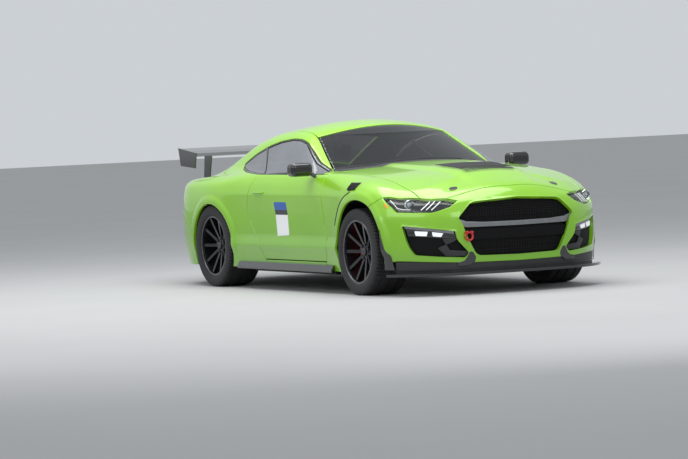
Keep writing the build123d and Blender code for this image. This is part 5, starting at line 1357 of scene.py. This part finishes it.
round_the_pin = np.linspace(0, 2 * math.pi, 28, endpoint=False)
oval = tuple((2.171 + 0.024 * math.cos(t), 0.448 + 0.036 * math.sin(t)) for t in round_the_pin)
pin = top_sheet(oval, 0.005, 0.002, spacing=0.008)
piece("bonnet_pins", both_sides(pin), "bonnet", "black_gloss")
vent_slats = []
for x in np.arange(1.53, 1.99, 0.036):
    half = np.interp(x, (1.49, 2.004), (0.262, 0.215))
    row = on_view("top", [(x, -half), (x, half)], spacing=0.03) + np.array([0, 0, 0.010])
    vent_slats.append(sweep(row, round_section(0.014, 0.004, 8), up=(0.35, 0, 1)))
piece("vent_slats", joined(vent_slats), "bonnet", "black_plastic")
LOUVRE = ((1.300, 0.893), (1.462, 0.893), (1.455, 0.838), (1.345, 0.824))
louvre = sheet_on(FAN, [loop_on(FAN, ("side", eased(LOUVRE + LOUVRE[:1], 0.012)))], lift=0.002, flange=0.004,
                  inset=0.0, spacing=0.012)
fins = []
for x in np.arange(1.330, 1.452, 0.020):
    line = on_view("side", [(x, 0.832), (x + 0.004, 0.886)], spacing=0.012) + np.array([0, 0.005, 0.003])
    fins.append(sweep(line, round_section(0.006, 0.008, 8), up=(0, 1, 0)))
# Painted shadow: a thin dark bar along the arch flare's outer edge, from the louvre down behind the front arch, stands
# for the shadow line under the flare's step. It is joined to the louvre's slats.
flare = on_view("side", arc_line(FRONT_ARCH[:2], FRONT_ARCH[2] + 0.078, 156, 104, 30), spacing=0.02)
painted_shadow_line = sweep(flare + np.array([0, 0.001, 0]), round_section(0.006, 0.010, 8), up=(0, 1, 0))
handle = on_view("side", [(-0.255, 0.806), (-0.435, 0.806)], spacing=0.02)
bulge = np.sin(np.linspace(0, math.pi, len(handle)))[:, None] ** 0.5
grip = sweep(handle + np.array([0, 0.016, 0.0]) * bulge, round_section(0.010, 0.026, 12), up=(0, 1, 0))
for side, sign in SIDES:
    turn = (lambda a: a) if sign > 0 else flipped
    piece(f"louvre_{side}", turn(louvre), "body", "black_plastic")
    piece(f"louvre_slats_{side}", turn(joined(fins + [painted_shadow_line])), "body", "trim_black")
    piece(f"door_handle_{side}", turn(grip), f"door_{side}", "green_paint")
AMBER = ((1.895, 0.735), (1.930, 0.712), (1.944, 0.690), (1.918, 0.695), (1.893, 0.718))
amber = sheet_on(FAN, [loop_on(FAN, ("side", eased(AMBER + AMBER[:1], 0.004)))], lift=0.0015, flange=0.002,
                 inset=0.0, spacing=0.008)
piece("amber_lamps", both_sides(amber), "body", "lamp_lens")
wipers = []
for y0, y1, x0, x1 in ((0.52, -0.06, 0.775, 0.905), (-0.10, -0.62, 0.905, 0.715)):
    line = on_view("top", [(x0, y0), (x1, y1)], spacing=0.03) + np.array([-0.012, 0, 0.014])
    wipers.append(sweep(line, round_section(0.010, 0.007, 8)))
piece("wipers", joined(wipers), "body", "black_plastic")
CARD = ((-0.037, 0.449), (0.182, 0.458), (0.156, 0.730), (-0.073, 0.729))
card = sheet_on(FAN, [loop_on(FAN, ("side", eased(CARD + CARD[:1], 0.004)))], lift=0.0012, flange=0.0, roll=0.0008,
                inset=0.0, spacing=0.02)
for side, sign in SIDES:
    turn = (lambda a: a) if sign > 0 else flipped
    piece(f"number_card_{side}", turn(card), f"door_{side}", "black_plastic")
print("small trim made")

# %% [markdown]
# ## Wheels
# The tyre's section has three round-the-wheel grooves. Cross grooves are pushed into its shoulders by
# depth * [frac(n a / 2 pi + skew y) < duty], a square wave round the tyre.

# %% Tyres, bright lips, nuts and caps
GROOVE = 0.007
TREAD_PITCHES = 72
BEAD = 0.256


def tyre_section(half, radius):
    """The section's rows of (along the axle, radius), outside first and back along the inside."""
    wall = [(0.915, BEAD), (0.955, BEAD + 0.010), (0.985, BEAD + 0.022), (1.000, BEAD + 0.040), (0.995, radius - 0.028),
            (0.965, radius - 0.013), (0.920, radius - 0.005)]
    tread = [0.84, 0.70, 0.56, 0.545, 0.495, 0.48, 0.28, 0.06, 0.045]
    groove = {0.545, 0.495}
    rows = [(a * half, r) for a, r in wall]
    rows += [(a * half, radius - (GROOVE if a in groove else 0.0015 * a * a)) for a in tread]
    rows += [(0.030 * half, radius - GROOVE), (-0.030 * half, radius - GROOVE)]
    rows += [(-a * half, radius - (GROOVE if a in groove else 0.0015 * a * a)) for a in reversed(tread)]
    rows += [(-a * half, r) for a, r in reversed(wall)]
    inner = radius - 0.022
    rows += [(-0.88 * half, BEAD + 0.006), (-0.80 * half, inner), (0.80 * half, inner), (0.88 * half, BEAD + 0.006)]
    return np.array(rows)


def tread_cut(half, radius):
    def push(a, along, r):
        phase = TREAD_PITCHES * a / (2 * math.pi) + along / half * 0.9
        cut = (phase - np.floor(phase) < 0.2) & (np.abs(along) > 0.50 * half) & (r > radius - 0.014)
        return np.where(cut, -0.006, 0.0)
    return push


WHEELS = (
    # name, axle x, side, half track, radius, half width, body
    ("front_left", FRONT_X, 1, 0.805, FRONT_RADIUS, 0.1525, "wheel_front_left"),
    ("front_right", FRONT_X, -1, 0.805, FRONT_RADIUS, 0.1525, "wheel_front_right"),
    ("rear_left", REAR_X, 1, 0.808, REAR_RADIUS, 0.1575, "wheel_rear_left"),
    ("rear_right", REAR_X, -1, 0.808, REAR_RADIUS, 0.1575, "wheel_rear_right"),
)
LIP_SECTION = ((0.1405, 0.2385), (0.1430, 0.2400), (0.1436, 0.2470), (0.1425, 0.2535), (0.1395, 0.2555),
               (0.1340, 0.2545),
               (0.1345, 0.2400))
NUT = ((0.0, 0.0005), (0.0, 0.0125), (0.014, 0.0125), (0.018, 0.009), (0.018, 0.0005))
CAP = ((0.0, 0.0008), (0.0, 0.034), (0.012, 0.034), (0.018, 0.029), (0.021, 0.016), (0.022, 0.0008))
NUT_CIRCLE = 0.057
for name, x, sign, track, radius, half, body in WHEELS:
    centre = (x, sign * track, radius)
    tyre = turned(tyre_section(half, radius), centre, 720, push=tread_cut(half, radius))
    piece(f"tread_{name}", tyre, body, "tyre_rubber", f"tyre_{name}", angle=40)
    out = np.array([sign, 1.0])
    lip = turned(np.array(LIP_SECTION) * out, centre, 160)
    piece(f"rim_lip_{name}", lip, body, "rim_metal")
    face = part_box(f"rim_{name}")[1].y if sign > 0 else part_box(f"rim_{name}")[0].y
    print(name, "rim reaches y", round(face, 4))

# %% Rims' nuts and caps
NUT_ANGLES = np.arange(5) * 2 * math.pi / 5 + math.pi / 2
HUB_FACE_Y = 0.0765                    # the hub's flat face from the wheel's middle
for name, x, sign, track, radius, half, body in WHEELS:
    out = np.array([sign, 1.0])
    face = sign * (track + HUB_FACE_Y)
    parts = [turned(np.array(CAP) * out, (x, face, radius), 40)]
    for a in NUT_ANGLES:
        at = (x + NUT_CIRCLE * math.cos(a), sign * (track + 0.066), radius + NUT_CIRCLE * math.sin(a))
        parts.append(turned(np.array(NUT) * out, at, 6))
    piece(f"wheel_nuts_{name}", joined(parts), body, "steel_dark", angle=25)
print("nuts and caps made")

# %% [markdown]
# ## Seats
# A seat is soft: each pad is a crowned box, |x/a|^n + |y/b|^n + |z/c|^n = 1, with its middle raised and
# seams pressed in. The bolsters are narrow pads beside the middle one.

# %% Padded shapes
PAD_POWER = 3.4


def pad_arrays(centre, size, tilt=0.0, crown=0.10, seams=(), count=(72, 40), power=PAD_POWER, seam_depth=0.006):
    """A superellipsoid: r = (|u|^n + |v|^n + |w|^n)^(-1/n) along each direction, then crowned, seamed and tilted."""
    lon = np.linspace(-math.pi, math.pi, count[0], endpoint=False)
    lat = np.linspace(-math.pi / 2, math.pi / 2, count[1] + 1)[1:-1]
    lon, lat = np.meshgrid(lon, lat, indexing="ij")
    d = np.stack([np.cos(lat) * np.cos(lon), np.cos(lat) * np.sin(lon), np.sin(lat)], -1)
    r = np.sum(np.abs(d) ** power, -1) ** (-1 / power)
    p = d * r[..., None]
    p = np.vstack([p.reshape(-1, 3), [[0, 0, -1], [0, 0, 1]]])
    rise = crown * (1 - p[:, 0] ** 2) * (1 - p[:, 1] ** 2) * (p[:, 2] > 0)
    q = p * np.asarray(size) / 2
    q[:, 2] += rise * size[2]
    for axis, at in seams:
        near = np.exp(-((p[:, axis] - at) / 0.035) ** 2)
        q[:, 2] -= seam_depth * near * (p[:, 2] > 0)
    c, s = math.cos(tilt), math.sin(tilt)
    q = np.stack([q[:, 0] * c + q[:, 2] * s, q[:, 1], -q[:, 0] * s + q[:, 2] * c], 1) + np.asarray(centre, float)
    n, m = lon.shape
    i, j = np.meshgrid(np.arange(n), np.arange(m - 1), indexing="ij")
    h = (i + 1) % n
    quads = np.stack([i * m + j, h * m + j, h * m + j + 1, i * m + j + 1], -1).reshape(-1, 4)
    ends = np.arange(n)
    low = np.stack([(ends + 1) % n * m, ends * m, np.full(n, n * m)], 1)
    high = np.stack([ends * m + m - 1, (ends + 1) % n * m + m - 1, np.full(n, n * m + 1)], 1)
    return outward(q, [quads, np.vstack([low, high])])


low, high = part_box("front_seats")
print("front seats box", [round(v, 3) for v in low], [round(v, 3) for v in high])
rear_low, rear_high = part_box("rear_seat")
print("rear seat box", [round(v, 3) for v in rear_low], [round(v, 3) for v in rear_high])
base_z = low.z + 0.16
SEAM_ROWS = ((0, -0.35), (0, 0.0), (0, 0.35))
for side, sign in SIDES:
    y = sign * (low.y + high.y) / 2 if abs(low.y + high.y) > 0.1 else sign * 0.37
    cx = high.x - 0.27
    cushion = pad_arrays((cx, y, base_z), (0.50, 0.34, 0.15), -0.10, 0.16, SEAM_ROWS)
    wings = [pad_arrays((cx, y + k * 0.195, base_z + 0.035), (0.48, 0.10, 0.19), -0.10, 0.05) for k in (-1, 1)]
    back = pad_arrays((low.x + 0.20, y, base_z + 0.36), (0.56, 0.34, 0.13), -1.30, 0.16, SEAM_ROWS)
    rolls = [pad_arrays((low.x + 0.225, y + k * 0.195, base_z + 0.34), (0.52, 0.10, 0.17), -1.30, 0.05) for k in (-1, 1)]
    head = pad_arrays((low.x + 0.10, y, base_z + 0.70), (0.20, 0.26, 0.10), -1.36, 0.08)
    for part, arrays in (("cushion", joined([cushion] + wings)), ("back", joined([back] + rolls)), ("head", head)):
        pad = piece(f"seat_{part}_{side}", arrays, "body", "seat_cloth", "front_seats", angle=None)
rear_parts = []
for sign in (-1, 1):
    y = sign * 0.27
    seat_at = (rear_high.x - 0.22, y, rear_low.z + 0.22)
    rear_parts.append(pad_arrays(seat_at, (0.42, 0.48, 0.14), -0.12, 0.14, SEAM_ROWS[1:2]))
    back_at = (rear_low.x + 0.13, y, (rear_low.z + rear_high.z) / 2 + 0.09)
    rear_parts.append(pad_arrays(back_at, (0.40, 0.48, 0.11), -1.15, 0.14, SEAM_ROWS[1:2]))
rear_pads = piece("rear_seat_pads", joined(rear_parts), "body", "seat_cloth", "rear_seat", angle=None)

# %% [markdown]
# ## Materials
# Every finish is worked out in the shader from the place of the point on the car, in metres. Shader sums
# are written as ordinary arithmetic: a socket object turns + and * into Math nodes.

# %% Shader arithmetic


class Value:
    """A shader socket that takes part in arithmetic, on either side of the operator."""

    def __init__(self, net, socket):
        self.net, self.socket = net, socket

    def run(self, kind, *others):
        return self.net.node("Math", {"operation": kind}, *others)

    def __add__(self, other): return self.run("ADD", self, other)
    def __radd__(self, other): return self.run("ADD", other, self)
    def __sub__(self, other): return self.run("SUBTRACT", self, other)
    def __rsub__(self, other): return self.run("SUBTRACT", other, self)
    def __mul__(self, other): return self.run("MULTIPLY", self, other)
    def __rmul__(self, other): return self.run("MULTIPLY", other, self)
    def __truediv__(self, other): return self.run("DIVIDE", self, other)
    def __rtruediv__(self, other): return self.run("DIVIDE", other, self)
    def __gt__(self, other): return self.run("GREATER_THAN", self, other)
    def __lt__(self, other): return self.run("LESS_THAN", self, other)
    def sine(self): return self.run("SINE", self)
    def size(self): return self.run("ABSOLUTE", self)
    def fraction(self): return self.run("FRACT", self)
    def clear(self): return self.run("MAXIMUM", self.run("MINIMUM", self, 1.0), 0.0)


class Finish:
    """One material's nodes around its Principled shader."""

    def __init__(self, name):
        self.material = bpy.data.materials.new(name)
        self.material.use_nodes = True
        self.tree = self.material.node_tree
        self.tree.nodes.clear()
        self.shader = self.tree.nodes.new("ShaderNodeBsdfPrincipled")
        out = self.tree.nodes.new("ShaderNodeOutputMaterial")
        self.tree.links.new(self.shader.outputs[0], out.inputs[0])
        place = self.tree.nodes.new("ShaderNodeTexCoord").outputs["Object"]
        parts = self.node("SeparateXYZ", {}, place, outputs=3)
        self.place = place
        self.x, self.y, self.z = parts

    def node(self, kind, settings, *values, outputs=1, named=None):
        """A node from its type, its settings, and its sockets' values or links in order or by name."""
        made = self.tree.nodes.new("ShaderNode" + kind)
        for key, value in settings.items():
            setattr(made, key, value)
        for key, value in list(enumerate(values)) + list((named or {}).items()):
            if value is not None:
                self.feed(made.inputs[key], value)
        found = [Value(self, s) for s in made.outputs if s.enabled]
        return found[0] if outputs == 1 else found[:outputs]

    def feed(self, socket, value):
        if isinstance(value, Value):
            value = value.socket
        if isinstance(value, bpy.types.NodeSocket):
            self.tree.links.new(value, socket)
        else:
            socket.default_value = value

    def noise(self, scale, detail=3.0):
        return self.node("TexNoise", {}, named={"Vector": self.place, "Scale": scale, "Detail": detail})

    def blend(self, share, one, two):
        return self.node("MixRGB", {}, share, one, two)

    def bump(self, height, strength, distance=0.001):
        return self.node("Bump", {}, named={"Strength": strength, "Distance": distance, "Height": height})

    def set(self, **values):
        for key, value in values.items():
            self.feed(self.shader.inputs[key.replace("_", " ")], value)
        return self


def rgb(red, green, blue):
    return (red, green, blue, 1.0)


finishes = {}


def plain(name, dark, light, rough, metallic=0.0, scale=30.0, grain=0.15, distance=0.0006, coat=0.0, **more):
    """A finish whose colour and roughness drift with noise, and whose grain is a small bump."""
    f = Finish(name)
    share = f.noise(scale)
    fine = f.noise(scale * 9, 2.0)
    f.set(Base_Color=f.blend(share, dark, light), Roughness=share * (rough[1] - rough[0]) + rough[0],
          Metallic=metallic, Normal=f.bump(fine, grain, distance), Coat_Weight=coat, Coat_Roughness=0.05, **more)
    finishes[name] = f.material
    return f


# %% Paint
paint = Finish("lime_paint")
# Painted shade: the green is blended by height, darker towards the bottom of the car and lighter towards the top, to
# stand for how the light falls on the body. The slow drift and the fine flakes are the paint's own tone.
height = ((paint.z - 0.15) * 1.1).clear()
flake = paint.noise(900.0, 1.0)
drift = paint.noise(2.2)
painted_shade_green, painted_light_green = rgb(0.105, 0.310, 0.003), rgb(0.310, 0.680, 0.010)
base = paint.blend(height * 0.8 + drift * 0.2, painted_shade_green, painted_light_green)
base = paint.blend(flake * 0.12, base, rgb(0.42, 0.78, 0.08))
paint.set(Base_Color=base, Roughness=flake * 0.08 + 0.26, Metallic=0.1, Coat_Weight=0.8, Coat_Roughness=0.03,
          Normal=paint.bump(drift, 0.02, 0.002))
finishes["lime_paint"] = paint.material

# %% Blacks, metals, rubber and cloth
plain("gloss_black", rgb(0.006, 0.006, 0.007), rgb(0.012, 0.012, 0.014), (0.12, 0.22), coat=0.8, grain=0.03)
plain("satin_black", rgb(0.012, 0.012, 0.013), rgb(0.022, 0.022, 0.024), (0.42, 0.58), scale=60.0, grain=0.3)
plain("deep_black", rgb(0.003, 0.003, 0.003), rgb(0.007, 0.007, 0.008), (0.55, 0.7), scale=40.0, grain=0.2,
      Specular_IOR_Level=0.12)
plain("matt_black", rgb(0.006, 0.006, 0.006), rgb(0.014, 0.014, 0.015), (0.65, 0.8), scale=40.0, grain=0.3)
plain("rubber", rgb(0.010, 0.010, 0.011), rgb(0.024, 0.024, 0.025), (0.62, 0.78), scale=25.0, grain=0.35)
plain("dark_rim", rgb(0.020, 0.021, 0.024), rgb(0.045, 0.046, 0.050), (0.25, 0.38), metallic=0.8, coat=0.4)
plain("bright_rim", rgb(0.50, 0.51, 0.53), rgb(0.72, 0.73, 0.75), (0.16, 0.30), metallic=1.0, scale=50.0)
plain("rim_edge", rgb(0.10, 0.10, 0.11), rgb(0.20, 0.20, 0.21), (0.22, 0.34), metallic=1.0, scale=50.0)
plain("steel", rgb(0.06, 0.06, 0.065), rgb(0.13, 0.13, 0.14), (0.38, 0.55), metallic=0.8, scale=35.0)
plain("cast", rgb(0.16, 0.16, 0.17), rgb(0.26, 0.26, 0.27), (0.5, 0.68), metallic=0.7, scale=45.0, grain=0.6)
plain("pipe", rgb(0.32, 0.30, 0.28), rgb(0.52, 0.50, 0.48), (0.28, 0.45), metallic=1.0, scale=12.0)
plain("red_metal", rgb(0.42, 0.008, 0.010), rgb(0.62, 0.020, 0.018), (0.26, 0.36), metallic=0.2, coat=0.7)
plain("underseal", rgb(0.010, 0.010, 0.010), rgb(0.030, 0.028, 0.026), (0.72, 0.9), scale=18.0, grain=0.8, distance=0.002)
plain("bar_grey", rgb(0.16, 0.17, 0.18), rgb(0.24, 0.25, 0.26), (0.25, 0.35), metallic=0.6, coat=0.5)
plain("lit_white", rgb(0.75, 0.78, 0.80), rgb(0.92, 0.94, 0.95), (0.15, 0.25), Emission_Color=rgb(0.9, 0.95, 1.0),
      Emission_Strength=0.25)
plain("amber", rgb(0.75, 0.22, 0.01), rgb(0.95, 0.36, 0.03), (0.12, 0.22), coat=0.8)

cloth = Finish("seat_cloth")
weave = (cloth.x * 1400.0).sine() * (cloth.y * 1400.0).sine() + (cloth.z * 1400.0).sine()
tone = cloth.noise(9.0)
cloth.set(Base_Color=cloth.blend(tone, rgb(0.016, 0.016, 0.018), rgb(0.040, 0.040, 0.044)), Roughness=tone * 0.1 + 0.8,
          Normal=cloth.bump(weave, 0.25, 0.0008))
finishes["seat_cloth"] = cloth.material

card_finish = Finish("number_card")
top_band = card_finish.z > 0.665
dark_band = (card_finish.z > 0.625) * (card_finish.z < 0.665)
fade = card_finish.noise(14.0) * 0.06
card_base = card_finish.blend(top_band, rgb(0.82, 0.83, 0.84), rgb(0.02, 0.10, 0.42))
card_base = card_finish.blend(dark_band, card_base, rgb(0.02, 0.02, 0.03))
card_base = card_finish.blend(fade, card_base, rgb(0.5, 0.5, 0.5))
card_finish.set(Base_Color=card_base, Roughness=fade + 0.35)
finishes["number_card"] = card_finish.material

# %% Glass and lenses


def see_through(name, tint, alpha, shade, rough=0.02, coat=0.0, border=None):
    """A thin coated pane: its alpha rises slightly with the noise, and to one inside its dark border."""
    f = Finish(name)
    haze = f.noise(3.0)
    amount = haze * shade + alpha
    if border:
        amount = border(f, amount)
    f.set(Base_Color=f.blend(haze, tint, rgb(*(0.6 * c for c in tint[:3]))), Roughness=haze * 0.02 + rough,
          Alpha=amount, Coat_Weight=coat, Specular_IOR_Level=0.9)
    finishes[name] = f.material
    return f


def screen_border(f, amount):
    """Fully dark along the windscreen's top and foot."""
    top = f.z > 1.262
    foot = f.x > 0.80 - f.y * f.y * 0.42
    return ((top + foot).clear() * 0.6 + amount).clear()


see_through("screen_glass", rgb(0.012, 0.014, 0.015), 0.55, 0.08, border=screen_border)
# Painted reflection: the side panes are a pale grey and mostly opaque, standing for the bright surroundings mirrored in
# the glass at a grazing angle.
see_through("side_glass", rgb(0.26, 0.27, 0.30), 0.74, 0.08)
see_through("clear_lens", rgb(0.10, 0.11, 0.12), 0.05, 0.04, coat=1.0)
see_through("projector", rgb(0.55, 0.62, 0.70), 0.65, 0.10, rough=0.04, coat=1.0)
plain("tail_red", rgb(0.30, 0.004, 0.006), rgb(0.50, 0.012, 0.012), (0.10, 0.20), coat=1.0)

# %% Mesh of the grille and the vents
mesh_finish = Finish("mesh_black")
hexes = (mesh_finish.y * 210.0 + mesh_finish.z * 120.0).sine() * (mesh_finish.y * 210.0 - mesh_finish.z * 120.0).sine()
dust = mesh_finish.noise(20.0)
mesh_finish.set(Base_Color=mesh_finish.blend(dust, rgb(0.006, 0.006, 0.007), rgb(0.018, 0.018, 0.019)),
                Roughness=dust * 0.2 + 0.45, Normal=mesh_finish.bump(hexes, 0.8, 0.004))
finishes["mesh_black"] = mesh_finish.material
print(len(finishes), "finishes")

# %% Which piece takes which finish
STARTS = (
    # start of a piece's name, finish
    ("fender", "lime_paint"), ("door_skin", "lime_paint"), ("quarter", "lime_paint"), ("roof_skin", "lime_paint"),
    ("deck_skin", "lime_paint"), ("bonnet_skin", "lime_paint"), ("boot_skin", "lime_paint"), ("bumper_skin", "lime_paint"),
    ("door_handle", "lime_paint"), ("opening_frames", "lime_paint"), ("headliner", "matt_black"),
    ("tow_shackle", "red_metal"), ("windscreen", "screen_glass"), ("rear_pane", "screen_glass"), ("cowl", "satin_black"),
    ("window_frame", "gloss_black"), ("door_pane", "side_glass"), ("rear_side_pane", "side_glass"),
    ("lamp_face", "clear_lens"), ("lamp_housing", "gloss_black"), ("lamp_rings", "bright_rim"),
    ("lamp_projectors", "projector"), ("lamp_bars", "lit_white"), ("intake_back", "deep_black"),
    ("intake_band", "bar_grey"), ("intake_bezel", "gloss_black"), ("intake_lamps", "lit_white"),
    ("intake_fin", "satin_black"), ("fang", "gloss_black"), ("winglet", "gloss_black"), ("grille_back", "mesh_black"),
    ("grille_bar", "bar_grey"), ("grille_plate", "deep_black"), ("grille_mesh", "deep_black"),
    ("bonnet_pins", "gloss_black"), ("vent_slats", "satin_black"),
    ("louvre", "satin_black"), ("amber", "amber"), ("wipers", "satin_black"), ("number_card", "number_card"),
    ("tread", "rubber"), ("chin", "satin_black"), ("splitter_step", "gloss_black"), ("rim_lip", "rim_edge"),
    ("wheel_nuts", "steel"), ("seat_", "seat_cloth"), ("rear_seat", "seat_cloth"),
)
NODE_FINISHES = {
    "front_splitter": "gloss_black", "side_skirts": "gloss_black", "rear_diffuser": "satin_black", "tail_lamps": "tail_red",
    "front_suspension": "steel", "rear_suspension": "steel", "exhaust": "pipe", "engine": "cast", "driveline": "steel",
    "floor_pan": "underseal", "front_structure": "underseal", "boot_floor": "underseal", "wheel_liners": "matt_black",
    "dashboard": "satin_black", "steering_wheel": "satin_black", "bonnet_vent": "satin_black",
    "tail_panel": "gloss_black", "rear_wing": "gloss_black", "mirror_left": "gloss_black", "mirror_right": "gloss_black",
    "knuckle_front_left": "red_metal", "knuckle_front_right": "red_metal", "rim_front_left": "dark_rim",
    "rim_front_right": "dark_rim", "rim_rear_left": "dark_rim", "rim_rear_right": "dark_rim",
}


def wear(thing, finish):
    thing.data.materials.clear()
    thing.data.materials.append(finishes[finish])


for name, thing in pieces.items():
    found = [finish for start, finish in STARTS if name.startswith(start)]
    if not found:
        raise ValueError("no finish for " + name)
    wear(thing, found[0])
stood_for = {n for t in pieces.values() for n in (t.get("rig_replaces") or ())}
for name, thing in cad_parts.items():
    if name not in stood_for:
        wear(thing, NODE_FINISHES.get(name, "satin_black"))
        if name not in NODE_FINISHES:
            print("no finish named for", name)
print("finishes worn by", len(pieces), "pieces; nodes stood for:", len(stood_for))

# %% [markdown]
# ## Light and camera
# A pale floor, broad soft lamps overhead, and the photograph's own view: a long lens from ahead and to the right of the
# car.

# %% Floor and lamps
FLOOR = 60.0
stage_verts = np.array([[-FLOOR, -FLOOR, 0], [FLOOR, -FLOOR, 0], [FLOOR, FLOOR, 0], [-FLOOR, FLOOR, 0]], float)
floor = mesh_object("floor", stage_verts, [np.array([[0, 1, 2, 3]])])
ground = Finish("floor")
spread = ground.noise(0.6)
ground.set(Base_Color=ground.blend(spread, rgb(0.42, 0.42, 0.42), rgb(0.48, 0.48, 0.48)), Roughness=spread * 0.1 + 0.7)
floor.data.materials.append(ground.material)


def soft_lamp(name, place, target, size, power):
    data = bpy.data.lights.new(name, "AREA")
    data.shape, data.size, data.size_y, data.energy = "RECTANGLE", size[0], size[1], power
    lamp = bpy.data.objects.new(name, data)
    lamp.location = place
    lamp.rotation_euler = (Vector(target) - Vector(place)).to_track_quat("-Z", "Y").to_euler()
    bpy.context.scene.collection.objects.link(lamp)
    return lamp


soft_lamp("overhead", (0.5, -1.0, 7.0), (0, 0, 0.5), (9.0, 6.0), 620)
soft_lamp("right_side", (3.0, -9.0, 4.0), (0.3, 0, 0.6), (8.0, 3.0), 140)
soft_lamp("front", (9.5, -1.5, 3.5), (1.5, 0, 0.6), (5.0, 3.0), 120)
world = bpy.data.worlds.new("studio")
world.use_nodes = True
world.node_tree.nodes["Background"].inputs[0].default_value = (0.80, 0.84, 0.88, 1)
world.node_tree.nodes["Background"].inputs[1].default_value = 0.75
scene = bpy.context.scene
scene.world = world
scene.view_settings.view_transform = "Standard"

# %% Camera
CAMERA_AT = np.array([29.782, -15.154, 1.674])
YAW, PITCH, ROLL_ANGLE = (math.radians(v) for v in (153.5428, -2.0709, -2.4279))
LENS = 4008.84 / 688 * 36.0
ahead = np.array([math.cos(YAW) * math.cos(PITCH), math.sin(YAW) * math.cos(PITCH), math.sin(PITCH)])
level = np.array([math.sin(YAW), -math.cos(YAW), 0.0])
above = np.cross(level, ahead)
right = math.cos(ROLL_ANGLE) * level + math.sin(ROLL_ANGLE) * above
upward = -math.sin(ROLL_ANGLE) * level + math.cos(ROLL_ANGLE) * above
data = bpy.data.cameras.new("photo_view")
data.lens, data.sensor_width, data.sensor_fit = LENS, 36.0, "HORIZONTAL"
data.clip_start, data.clip_end = 1.0, 300.0
camera = bpy.data.objects.new("photo_view", data)
matrix = np.eye(4)
matrix[:3, 0], matrix[:3, 1], matrix[:3, 2], matrix[:3, 3] = right, upward, -ahead, CAMERA_AT
camera.matrix_world = Matrix(matrix.tolist())
scene.collection.objects.link(camera)
scene.camera = camera
